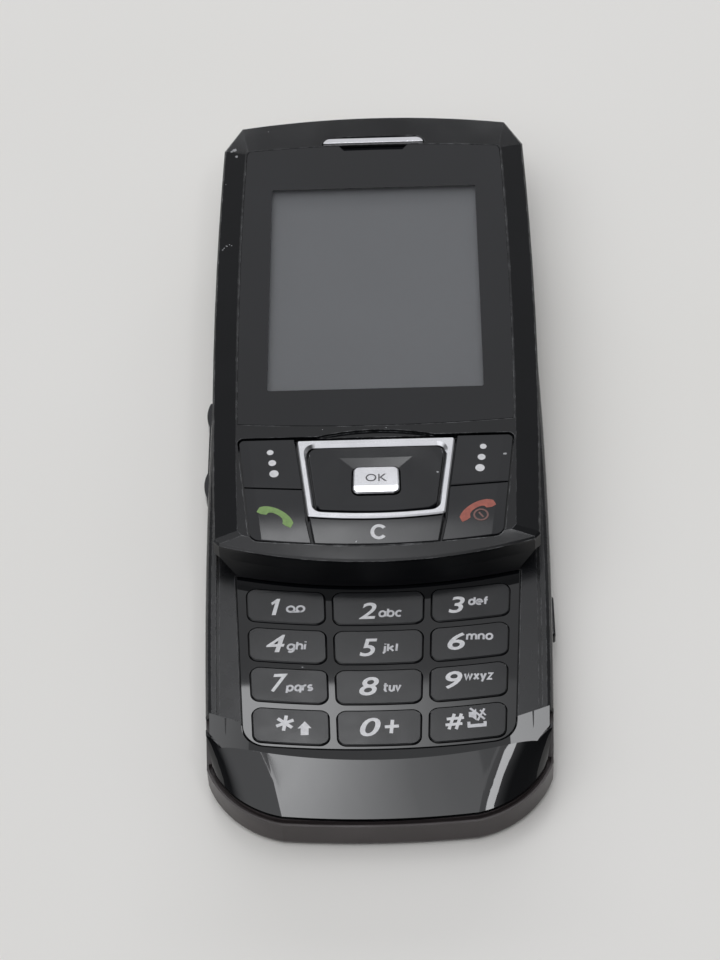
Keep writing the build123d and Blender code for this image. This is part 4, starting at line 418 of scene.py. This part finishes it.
def acrylic_window():
    """Cast acrylic, smoked, hard-coated: a dark mirror that the display shows through faintly. It
    is black round the display, from the print on its back."""
    material, tree, place = blank_material("smoked_acrylic")
    opening = inside_print(tree, place, OPENING_Y, OPENING_WIDTH, OPENING_HEIGHT)
    smoked = add_node(tree, "ShaderNodeMath", {0: opening, 1: SMOKE - 1.0, 2: 1.0},
                      operation="MULTIPLY_ADD").outputs[0]
    behind = inside_print(tree, place, OPENING_Y, OPENING_WIDTH + BACK_PRINT_MARGIN,
                          OPENING_HEIGHT + BACK_PRINT_MARGIN)
    printed = add_node(tree, "ShaderNodeMath", {0: 1.0, 1: behind},
                       operation="SUBTRACT").outputs[0]
    height = add_node(tree, "ShaderNodeSeparateXYZ", {0: place}).outputs["Z"]
    front = add_node(tree, "ShaderNodeMath", {0: height, 1: WINDOW_INSIDE},
                     operation="GREATER_THAN").outputs[0]
    opaque = add_node(tree, "ShaderNodeMix", {"Factor": front, "A": printed, "B": smoked},
                      data_type="FLOAT").outputs[0]
    give_surface(tree, {
        "Base Color": mottled(tree, place, 9.0, "#0c0d10", "#101115", detail=3.0),
        "Roughness": wandering(tree, place, 6.0, 0.02, 0.04), "IOR": 1.49, "Alpha": opaque})
    return material


def unlit_display():
    """Liquid crystal cell behind a polariser: flat grey, in the black print of its edge."""
    material, tree, place = blank_material("unlit_liquid_crystal")
    cell = inside_print(tree, place, DISPLAY_Y, OPENING_WIDTH + CELL_MARGINS[0],
                        OPENING_HEIGHT + CELL_MARGINS[1])
    colour = add_node(tree, "ShaderNodeMix", {
        "Factor": cell, "A": linear("#050506"),
        "B": mottled(tree, place, 14.0, "#949699", "#989a9d", detail=1.0)},
        data_type="RGBA").outputs[2]
    give_surface(tree, {"Base Color": colour, "Roughness": 0.35, "IOR": 1.5})
    return material


smoked_acrylic = acrylic_window()
liquid_crystal = unlit_display()


def ink(name, shade, thin):
    """Pad-printed ink, dull and slightly thin in places."""
    return finish(name, thin, shade, mottle_mm=0.25, gloss=(0.4, 0.55), gloss_mm=0.4, IOR=1.5)


white_ink = ink("pad_printed_white", "#dededf", "#cacacc")
grey_ink = ink("pad_printed_light_grey", "#d0d0d3", "#b8b8bb")
green_ink = ink("pad_printed_green", "#7fa05c", "#6d8b4e")
red_ink = ink("pad_printed_red", "#a85a4b", "#8f4b3f")
mark_ink = ink("pad_printed_dull_red", "#7c5650", "#694843")
# Lettering engraved in the plate and filled with paint: dark on the bright key.
engraved = finish("engraved_filled_grey", "#4a4a4c", "#58585a", mottle_mm=0.5, gloss=(0.4, 0.5),
                  gloss_mm=0.5)

NUMBER_KEYS = ["key_" + mark for mark in ("1", "2", "3", "4", "5", "6", "7", "8", "9", "star", "0",
                                          "hash")]
FINISHES = {
    lacquered_abs: ["slide_front_cover", "slide_rear_cover"],
    rubbed_abs: ["front_housing"],
    side_key_abs: ["volume_key", "camera_key"],
    shell_abs: ["rear_housing", "battery_cover"],
    gloss_polycarbonate: ["chin_cover", "keypad_panel"],
    key_paint: NUMBER_KEYS,
    cap_paint: ["soft_key_left", "soft_key_right", "call_key", "end_key", "clear_key"],
    dished_paint: ["nav_key"],
    satin_chrome: ["nav_ring"],
    key_chrome: ["ok_key"],
    grille_chrome: ["earpiece_grille"],
    flap_rubber: ["socket_cover"],
    clear_lens: ["camera_window", "flash_lens"],
    board_resist: ["main_board", "slide_board"],
    stamped_steel: ["shield_cans", "rail_plate", "carriage_plate", "slide_spring", "base_screws",
                    "rail_screws", "slide_screws", "carriage_screws"],
    dome_film_painted_shade: ["dome_sheet", "slide_domes"],
    gold_plate: ["battery_contacts"],
    inner_nylon: ["sim_holder", "side_switches", "microphone", "loudspeaker", "receiver",
                  "camera_module", "antenna", "nav_pivot", "interface_connector",
                  "vibration_motor"],
    battery_case: ["battery_pack"],
    polyimide: ["flex_cable"],
    smoked_acrylic: ["display_window"],
    liquid_crystal: ["display_module"],
}
for material, names in FINISHES.items():
    for name in names:
        NODES[name].data.materials.clear()
        NODES[name].data.materials.append(material)

# ------------------------------------------------------------------ printed legends
# All outlines from here on are in millimetres, in the plan of the open phone.
KEY_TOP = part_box("key_5")[1].z / MM
CAP_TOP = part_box("call_key")[1].z / MM
OK_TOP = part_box("ok_key")[1].z / MM
INK_LIFT = 0.01
INK_THICK = 0.015
# Strokes of one print that cross are set at slightly different heights, which come round again.
STROKE_STEP = 0.0015
STROKE_LEVELS = 7
TYPE_CURVE = 4              # points to each curve of a digit
TYPE_HALF_DEPTH = 0.5       # of the typed shape, before it is pressed flat
DIGIT_WEIGHT = 0.014        # how far a digit's strokes are thickened, in heights of the type


def settle(name, mesh, body, material):
    """Makes an object of a mesh, gives it its material and lets it ride on a body."""
    mesh.materials.clear()
    mesh.materials.append(material)
    piece = bpy.data.objects.new(name, mesh)
    bpy.context.scene.collection.objects.link(piece)
    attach(piece, body)


def printed_plates(name, outlines, z, body, material):
    """Thin prints from closed outlines, all in one piece."""
    form = bmesh.new()
    for turn, outline in enumerate(outlines):
        low = z + INK_LIFT + (turn % STROKE_LEVELS) * STROKE_STEP
        foot = [form.verts.new((x * MM, y * MM, low * MM)) for x, y in outline]
        head = [form.verts.new((x * MM, y * MM, (low + INK_THICK) * MM)) for x, y in outline]
        form.faces.new(foot[::-1])
        form.faces.new(head)
        for i in range(len(outline)):
            j = (i + 1) % len(outline)
            form.faces.new((foot[i], foot[j], head[j], head[i]))
    bmesh.ops.recalc_face_normals(form, faces=form.faces)
    mesh = bpy.data.meshes.new(name)
    form.to_mesh(mesh)
    form.free()
    settle(name, mesh, body, material)


def printed_text(name, text, place, z, body, material, lean=0.22, weight=0.0):
    """Text that fills a box of (left, right, foot, head)."""
    curve = bpy.data.curves.new(name, "FONT")
    curve.body = text
    curve.size = 1.0
    curve.shear = lean
    curve.offset = weight
    curve.extrude = TYPE_HALF_DEPTH
    curve.resolution_u = TYPE_CURVE
    typed = bpy.data.objects.new(name + "_type", curve)
    bpy.context.scene.collection.objects.link(typed)
    bpy.context.view_layer.update()
    depsgraph = bpy.context.evaluated_depsgraph_get()
    mesh = bpy.data.meshes.new_from_object(typed.evaluated_get(depsgraph))
    bpy.data.objects.remove(typed)
    bpy.data.curves.remove(curve)
    xs = [v.co.x for v in mesh.vertices]
    ys = [v.co.y for v in mesh.vertices]
    left, right, foot, head = place
    wide, tall = (right - left) / (max(xs) - min(xs)), (head - foot) / (max(ys) - min(ys))
    for v in mesh.vertices:
        v.co = Vector(((left + (v.co.x - min(xs)) * wide) * MM,
                       (foot + (v.co.y - min(ys)) * tall) * MM,
                       (z + INK_LIFT + (v.co.z + TYPE_HALF_DEPTH) * INK_THICK) * MM))
    settle(name, mesh, body, material)


def bar(start, end, width):
    """Outline of a straight stroke with square ends."""
    along = Vector((end[0] - start[0], end[1] - start[1])).normalized() * width / 2
    across = Vector((-along.y, along.x))
    return [tuple(Vector(start) - across), tuple(Vector(end) - across),
            tuple(Vector(end) + across), tuple(Vector(start) + across)]


def arc(x, y, radius_x, radius_y, start, end, steps=10):
    """Points round part of an ellipse, between two angles in degrees."""
    turns = [math.radians(start + (end - start) * i / steps) for i in range(steps + 1)]
    return [(x + radius_x * math.cos(turn), y + radius_y * math.sin(turn)) for turn in turns]


ROUND_STEPS = 24            # round a dot or a ring


def disc(centre, radius):
    """Outline of a dot."""
    return arc(*centre, radius, radius, 0, 360, ROUND_STEPS)[:-1]


def band(outer, inner):
    """Outlines of a stroke between two lines of as many points."""
    return [[outer[i], outer[i + 1], inner[i + 1], inner[i]] for i in range(len(outer) - 1)]


def hoop(centre, radius, width):
    """Outlines of a stroke that runs round an ellipse of (half width, half height)."""
    return band(arc(*centre, *radius, 0, 360, ROUND_STEPS),
                arc(*centre, radius[0] - width, radius[1] - width, 0, 360, ROUND_STEPS))


CORNER_CUT = 0.25           # how much of a side each cut takes
CORNER_CUTS = 2


def rounded(outline, sharp):
    """Cuts the corners of a closed outline, apart from the sharp ones, so that it reads as a
    smooth curve."""
    points = [(point, i in sharp) for i, point in enumerate(outline)]
    for _ in range(CORNER_CUTS):
        cut = []
        for i, (here, kept) in enumerate(points):
            if kept:
                cut.append((here, True))
                continue
            for other in (points[i - 1][0], points[(i + 1) % len(points)][0]):
                cut.append((tuple(h * (1.0 - CORNER_CUT) + o * CORNER_CUT
                                  for h, o in zip(here, other)), False))
        points = cut
    return [point for point, _ in points]


# Small letters 1 high, wide and round: a letter's width, and then its lines.
BOWL = arc(0.5, 0.5, 0.5, 0.5, 0, 360, 20)
ARCH = arc(0.42, 0.56, 0.42, 0.44, 180, 0) + [(0.84, 0.0)]
SMALL_LETTERS = {
    "a": (1.0, BOWL, [(1.0, 1.0), (1.0, 0.0)]),
    "b": (1.0, BOWL, [(0.0, 1.42), (0.0, 0.0)]),
    "c": (0.9, arc(0.5, 0.5, 0.5, 0.5, 48, 312, 14)),
    "d": (1.0, BOWL, [(1.0, 1.42), (1.0, 0.0)]),
    "e": (1.0, [(0.0, 0.5), (1.0, 0.5)] + arc(0.5, 0.5, 0.5, 0.5, 0, 312, 16)),
    "f": (0.7, [(0.26, 0.0), (0.26, 1.05)] + arc(0.58, 1.12, 0.32, 0.3, 180, 80, 5),
          [(-0.05, 0.9), (0.68, 0.9)]),
    "g": (1.0, BOWL, [(1.0, 1.0), (1.0, 0.0)] + arc(0.55, -0.02, 0.45, 0.42, 0, -140, 7)),
    "h": (0.84, [(0.0, 1.42), (0.0, 0.0)], ARCH),
    "i": (0.0, [(0.0, 1.0), (0.0, 0.0)], [(0.0, 1.3), (0.0, 1.48)]),
    "j": (0.25, [(0.25, 1.0), (0.25, -0.05)] + arc(-0.03, -0.05, 0.28, 0.33, 0, -80, 5),
          [(0.25, 1.3), (0.25, 1.48)]),
    "k": (0.78, [(0.0, 1.42), (0.0, 0.0)], [(0.72, 1.0), (0.1, 0.48)],
          [(0.26, 0.62), (0.78, 0.0)]),
    "l": (0.0, [(0.0, 1.42), (0.0, 0.0)]),
    "m": (1.5, [(0.0, 1.0), (0.0, 0.0)],
          [(0.0, 0.5)] + arc(0.375, 0.6, 0.375, 0.4, 180, 0) + [(0.75, 0.0)],
          arc(1.125, 0.6, 0.375, 0.4, 180, 0) + [(1.5, 0.0)]),
    "n": (0.84, [(0.0, 1.0), (0.0, 0.0)], ARCH),
    "o": (1.0, BOWL),
    "p": (1.0, BOWL, [(0.0, 1.0), (0.0, -0.4)]),
    "q": (1.0, BOWL, [(1.0, 1.0), (1.0, -0.4)]),
    "r": (0.5, [(0.0, 1.0), (0.0, 0.0)], arc(0.4, 0.56, 0.4, 0.44, 180, 70, 6)),
    "s": (0.74, arc(0.37, 0.73, 0.35, 0.27, 40, 240, 9) + arc(0.37, 0.27, 0.37, 0.27, 60, -150, 9)),
    "t": (0.8, [(0.28, 1.38), (0.28, 0.3)] + arc(0.58, 0.3, 0.3, 0.3, 180, 290, 6),
          [(-0.05, 0.93), (0.82, 0.93)]),
    "u": (0.84, [(0.0, 1.0)] + arc(0.42, 0.44, 0.42, 0.44, 180, 360),
          [(0.84, 1.0), (0.84, 0.0)]),
    "v": (0.86, [(0.0, 1.0), (0.43, 0.0), (0.86, 1.0)]),
    "w": (1.3, [(0.0, 1.0), (0.34, 0.0), (0.65, 0.95), (0.96, 0.0), (1.3, 1.0)]),
    "x": (0.8, [(0.0, 1.0), (0.8, 0.0)], [(0.8, 1.0), (0.0, 0.0)]),
    "y": (0.86, [(0.0, 1.0), (0.45, 0.02)], [(0.86, 1.0), (0.26, -0.4)]),
    "z": (0.8, [(0.02, 1.0), (0.78, 1.0), (0.02, 0.0), (0.8, 0.0)])}
LETTER_PEN = 0.31
LETTER_LEAN = 0.1
LETTER_SPACE = 0.42         # between two letters, as a share of their height
SHORTEST_MITRE = 0.6        # keeps a sharp bend of the pen from growing a spike


def stroke(points, width):
    """Outline of a pen line of one width through points, with square ends."""
    line = [Vector(point) for point in points]
    near_side, far_side = [], []
    for i, point in enumerate(line):
        before = (point - line[i - 1]).normalized() if i else (line[1] - point).normalized()
        after = (line[i + 1] - point).normalized() if i + 1 < len(line) else before
        middle = (before + after).normalized()
        reach = width / 2 / max(SHORTEST_MITRE, middle.dot(before))
        out = Vector((-middle.y, middle.x)) * reach
        near_side.append(tuple(point + out))
        far_side.append(tuple(point - out))
    return near_side + far_side[::-1]


def small_letters(name, text, place, z, body, material):
    """Small letters in a box of (left, right, foot, height), drawn with a pen of one width."""
    left, right, foot, tall = place
    total = sum(SMALL_LETTERS[letter][0] for letter in text) + LETTER_SPACE * (len(text) - 1)
    step = (right - left - LETTER_PEN) / total
    rise = tall - LETTER_PEN
    outlines, start = [], left + LETTER_PEN / 2
    for letter in text:
        for line in SMALL_LETTERS[letter][1:]:
            drawn = [(start + x * step + LETTER_LEAN * y * rise, foot + LETTER_PEN / 2 + y * rise)
                     for x, y in line]
            if line is BOWL:
                halfway = len(drawn) // 2
                outlines += [stroke(drawn[:halfway + 1], LETTER_PEN),
                             stroke(drawn[halfway:], LETTER_PEN)]
            else:
                outlines.append(stroke(drawn, LETTER_PEN))
        start += (SMALL_LETTERS[letter][0] + LETTER_SPACE) * step
    printed_plates(name, outlines, z, body, material)


DIGITS = {  # left, right, foot, head
    "2": (-2.78, -0.25, -33.71, -30.76), "3": (10.14, 12.54, -32.99, -30.03),
    "4": (-16.11, -13.40, -39.29, -36.22), "5": (-2.72, -0.16, -40.40, -37.28),
    "6": (9.85, 12.36, -39.62, -36.55), "7": (-15.27, -12.91, -46.26, -43.13),
    "8": (-2.77, 0.00, -47.26, -44.05), "9": (9.42, 11.83, -46.42, -43.36),
    "0": (-2.71, 0.21, -54.25, -51.11)}
LETTERS = {  # left, right, foot, height
    "2": ("abc", (-0.03, 3.44, -33.48, 1.27)), "3": ("def", (12.96, 15.95, -31.67, 1.2)),
    "4": ("ghi", (-13.20, -10.42, -39.05, 1.25)), "5": ("jkl", (0.45, 2.69, -39.70, 1.2)),
    "6": ("mno", (12.50, 16.40, -38.00, 1.25)), "7": ("pqrs", (-13.16, -9.31, -46.28, 1.2)),
    "8": ("tuv", (0.47, 3.11, -46.70, 1.3)), "9": ("wxyz", (11.96, 16.16, -45.02, 1.3))}
for digit, place in DIGITS.items():
    printed_text("digit_" + digit, digit, place, KEY_TOP, f"key_{digit}_body", white_ink,
                 weight=DIGIT_WEIGHT)
for digit, (letters, place) in LETTERS.items():
    small_letters("letters_" + digit, letters, place, KEY_TOP, f"key_{digit}_body", grey_ink)

# 1 without a foot, and two loops on a line for the answering machine
ONE = [(-15.40, -32.61), (-14.82, -32.61), (-14.20, -29.67), (-14.66, -29.67), (-15.50, -30.35),
       (-15.38, -30.80), (-14.92, -30.42)]
printed_plates("digit_1", [ONE], KEY_TOP, "key_1_body", white_ink)
LOOP, LOOP_PEN = (0.70, 0.66), 0.32
answering = (hoop((-12.66, -31.60), LOOP, LOOP_PEN) + hoop((-11.24, -31.60), LOOP, LOOP_PEN)
             + [bar((-12.66, -32.10), (-11.24, -32.10), LOOP_PEN)])
printed_plates("answering_mark", answering, KEY_TOP, "key_1_body", grey_ink)

# star, with an upward arrow beside it
STAR, STAR_REACH, STAR_PEN = Vector((-13.20, -51.67)), 1.3, 0.5
star_arms = []
for degrees in (22, 82, 142):
    turn = math.radians(degrees)
    reach = Vector((math.cos(turn), math.sin(turn))) * STAR_REACH
    star_arms.append(bar(STAR - reach, STAR + reach, STAR_PEN))
printed_plates("star_mark", star_arms, KEY_TOP, "key_star_body", white_ink)
ARROW = (-10.47, -52.63)
ARROW_SHAPE = [(0.05, 1.18), (1.0, 0.0), (0.60, 0.0), (0.60, -1.15), (-0.50, -1.15), (-0.50, 0.0),
               (-0.95, 0.0)]
printed_plates("arrow_mark", [[(ARROW[0] + x, ARROW[1] + y) for x, y in ARROW_SHAPE]],
               KEY_TOP, "key_star_body", white_ink)

# plus beside 0
printed_plates("plus_mark", [bar((0.78, -52.70), (2.74, -52.60), 0.5),
                             bar((1.66, -53.80), (1.86, -51.52), 0.5)],
               KEY_TOP, "key_0_body", white_ink)

# hash, and a muted-sound mark: a crossed-out loudspeaker over a tray
HASH_STROKES = [bar((9.72, -53.35), (10.52, -50.75), 0.44),
                bar((10.72, -53.35), (11.52, -50.75), 0.44),
                bar((9.25, -52.62), (11.60, -52.42), 0.46),
                bar((9.45, -51.62), (11.85, -51.42), 0.46)]
printed_plates("hash_mark", HASH_STROKES, KEY_TOP, "key_hash_body", white_ink)
TRAY = [bar((12.52, -52.15), (12.52, -53.05), 0.42), bar((12.33, -52.90), (14.95, -52.70), 0.56),
        bar((14.78, -52.10), (14.78, -52.75), 0.42)]
SPEAKER = [(12.55, -51.40), (13.00, -51.40), (13.60, -51.95), (13.60, -49.95), (13.00, -50.50),
           (12.55, -50.50)]
CROSSED_OUT = [bar((12.75, -49.85), (14.75, -51.75), 0.32),
               bar((14.75, -49.95), (13.75, -51.95), 0.3),
               bar((14.15, -50.20), (14.90, -51.10), 0.26)]
printed_plates("mute_mark", TRAY + [SPEAKER] + CROSSED_OUT, KEY_TOP, "key_hash_body", grey_ink)

# dots of the soft keys, which grow towards the foot: across, along, radius
SOFT_DOTS = {"left": ((-15.77, -6.36, 0.50), (-15.42, -8.43, 0.58), (-15.12, -10.53, 0.69)),
             "right": ((16.01, -6.18, 0.50), (15.70, -8.25, 0.58), (15.40, -10.34, 0.69))}
for side, dots in SOFT_DOTS.items():
    printed_plates("dots_" + side, [disc((x, y), radius) for x, y, radius in dots], CAP_TOP,
                   f"soft_key_{side}_body", white_ink)

# telephone handset, falling to the right; the other key has its mirror image, a little higher, and
# a power mark over that
HANDSET = [(-17.55, -17.80), (-17.15, -16.92), (-16.45, -16.70), (-15.46, -16.84), (-14.33, -17.32),
           (-13.25, -18.18), (-12.50, -19.08), (-12.12, -20.02), (-12.50, -20.95), (-13.21, -20.58),
           (-13.72, -20.13), (-13.65, -19.41), (-14.10, -18.70), (-15.02, -18.06), (-15.80, -17.92),
           (-16.08, -18.35), (-16.90, -18.22)]
SQUARE_ENDS = (0, 1, 7, 8, 9, 10, 15, 16)
END_RISE = 0.32
POWER, POWER_RADIUS, POWER_PEN, POWER_LIFT = (15.26, -19.33), (1.14, 1.14), 0.28, 0.01
printed_plates("call_mark", [rounded(HANDSET, SQUARE_ENDS)], CAP_TOP, "call_key_body", green_ink)
printed_plates("end_mark", [rounded([(-x, y + END_RISE) for x, y in HANDSET], SQUARE_ENDS)],
               CAP_TOP, "end_key_body", red_ink)
power = hoop(POWER, POWER_RADIUS, POWER_PEN) + [bar((14.95, -18.85), (15.6, -19.8), POWER_PEN)]
printed_plates("power_mark", power, CAP_TOP + POWER_LIFT, "end_key_body", mark_ink)

# C on the clear key: an open ring
CLEAR, CLEAR_OUTER, CLEAR_INNER, CLEAR_OPENING = (0.35, -22.09), (1.24, 1.42), (0.70, 0.88), 38
printed_plates("clear_mark",
               band(arc(*CLEAR, *CLEAR_OUTER, CLEAR_OPENING, 360 - CLEAR_OPENING, 18),
                    arc(*CLEAR, *CLEAR_INNER, CLEAR_OPENING, 360 - CLEAR_OPENING, 18)),
               CAP_TOP, "clear_key_body", white_ink)
printed_text("ok_mark", "OK", (-1.55, 1.60, -12.55, -11.15), OK_TOP, "ok_key_body", engraved,
             lean=0.0)

# ------------------------------------------------------------------ floor and light
FLOOR_HALF = 1.5
FLOOR_DROP = 0.02 * MM      # keeps the floor clear of the phone's back


def laminate_floor():
    """Melamine laminate, pale and faintly uneven in tone."""
    material, tree, place = blank_material("pale_laminate")
    give_surface(tree, {
        "Base Color": mottled(tree, place, 60.0, "#e9e7e2", "#eceae6", detail=2.0),
        "Roughness": 0.6, "IOR": 1.45})
    return material


floor_mesh = bpy.data.meshes.new("floor")
floor_mesh.from_pydata([(-FLOOR_HALF, -FLOOR_HALF, 0), (FLOOR_HALF, -FLOOR_HALF, 0),
                        (FLOOR_HALF, FLOOR_HALF, 0), (-FLOOR_HALF, FLOOR_HALF, 0)],
                       [], [(0, 1, 2, 3)])
floor = bpy.data.objects.new("floor", floor_mesh)
floor.location.z = -FLOOR_DROP
bpy.context.scene.collection.objects.link(floor)
floor_mesh.materials.append(laminate_floor())

ROOM_TINT = "#fbfcff"
WALLS_MEAN, WALLS_TILT = 0.17, 0.20
# Where each patch is, the cosines of its edge and of its evenly lit middle, and how bright it is:
# one high over the far end, and the pale ceiling over the near end.
ROOM_PATCHES = (((0.0, 0.62, 0.785), 0.90, 0.99, 0.45), ((-0.3, -0.3, 0.906), 0.62, 0.93, 1.2))


def soft_room():
    """A room seen by direction: dim walls, lighter towards the far end, and two pale patches."""
    world = bpy.data.worlds.new("soft_room")
    world.use_nodes = True
    tree = world.node_tree
    tree.nodes.clear()
    heading = add_node(tree, "ShaderNodeTexCoord").outputs["Generated"]
    along = add_node(tree, "ShaderNodeSeparateXYZ", {0: heading}).outputs["Y"]
    strength = add_node(tree, "ShaderNodeMath", {0: along, 1: WALLS_TILT, 2: WALLS_MEAN},
                        operation="MULTIPLY_ADD").outputs[0]
    for aim, edge, middle, gain in ROOM_PATCHES:
        near = add_node(tree, "ShaderNodeVectorMath", {0: heading, 1: aim},
                        operation="DOT_PRODUCT").outputs["Value"]
        patch = add_node(tree, "ShaderNodeMapRange", {
            "Value": near, "From Min": edge, "From Max": middle, "To Min": 0.0, "To Max": gain},
            interpolation_type="SMOOTHSTEP").outputs["Result"]
        strength = add_node(tree, "ShaderNodeMath", {0: strength, 1: patch},
                            operation="ADD").outputs[0]
    glow = add_node(tree, "ShaderNodeBackground", {
        "Color": linear(ROOM_TINT), "Strength": strength})
    add_node(tree, "ShaderNodeOutputWorld", {"Surface": glow.outputs[0]})
    return world


bpy.context.scene.world = soft_room()

LAMP_TINT = "#fcfdff"


def softbox(name, centre, size, brightness, aim=(0.0, 0.0, 0.0), falls=()):
    """A rectangular lamp of a given brightness, which may fall off across its width at
    (place, share) stops, the first two of them its ends."""
    lamp = bpy.data.lights.new(name, "AREA")
    lamp.shape = "RECTANGLE"
    lamp.size, lamp.size_y = size
    lamp.color = linear(LAMP_TINT)[:3]
    lamp.energy = brightness * math.pi * size[0] * size[1]
    if falls:
        lamp.use_nodes = True
        tree = lamp.node_tree
        tree.nodes.clear()
        face = add_node(tree, "ShaderNodeNewGeometry").outputs["Parametric"]
        across = add_node(tree, "ShaderNodeSeparateXYZ", {0: face}).outputs["X"]
        ramp = add_node(tree, "ShaderNodeValToRGB", {"Fac": across})
        stops = ramp.color_ramp.elements
        for i, (place, share) in enumerate(falls):
            stop = stops[i] if i < 2 else stops.new(place)
            stop.position, stop.color = place, (share, share, share, 1.0)
        gleam = add_node(tree, "ShaderNodeEmission", {
            "Color": ramp.outputs["Color"], "Strength": 1.0})
        add_node(tree, "ShaderNodeOutputLight", {"Surface": gleam.outputs[0]})
    held = bpy.data.objects.new(name, lamp)
    held.location = centre
    held.rotation_euler = (Vector(aim) - Vector(centre)).to_track_quat("-Z", "Y").to_euler()
    bpy.context.scene.collection.objects.link(held)


# a low one beyond the far end, and three overhead strips, the wide ones brighter on the left
LAMP_HEIGHT = 1.2
softbox("window_softbox", (0.0, 1.9, 0.62), (2.4, 0.38), 4.5)
softbox("far_softbox", (-0.0150, 0.581, LAMP_HEIGHT), (0.23, 0.48), 5.1, aim=(-0.0150, 0.581, 0.0),
        falls=((0.0, 1.0), (1.0, 0.03), (0.12, 0.98), (0.3, 0.85), (0.48, 0.52), (0.63, 0.3),
               (0.80, 0.08)))
softbox("near_softbox", (-0.015, -0.595, LAMP_HEIGHT), (0.63, 0.25), 4.9,
        aim=(-0.015, -0.595, 0.0),
        falls=((0.0, 1.0), (1.0, 0.09), (0.15, 1.0), (0.24, 0.83), (0.36, 0.58), (0.48, 0.38),
               (0.62, 0.18), (0.76, 0.11)))
softbox("right_strip", (0.47, -0.57, LAMP_HEIGHT), (0.15, 0.30), 7.5, aim=(0.47, -0.57, 0.0))

bpy.context.scene.view_settings.view_transform = "Standard"
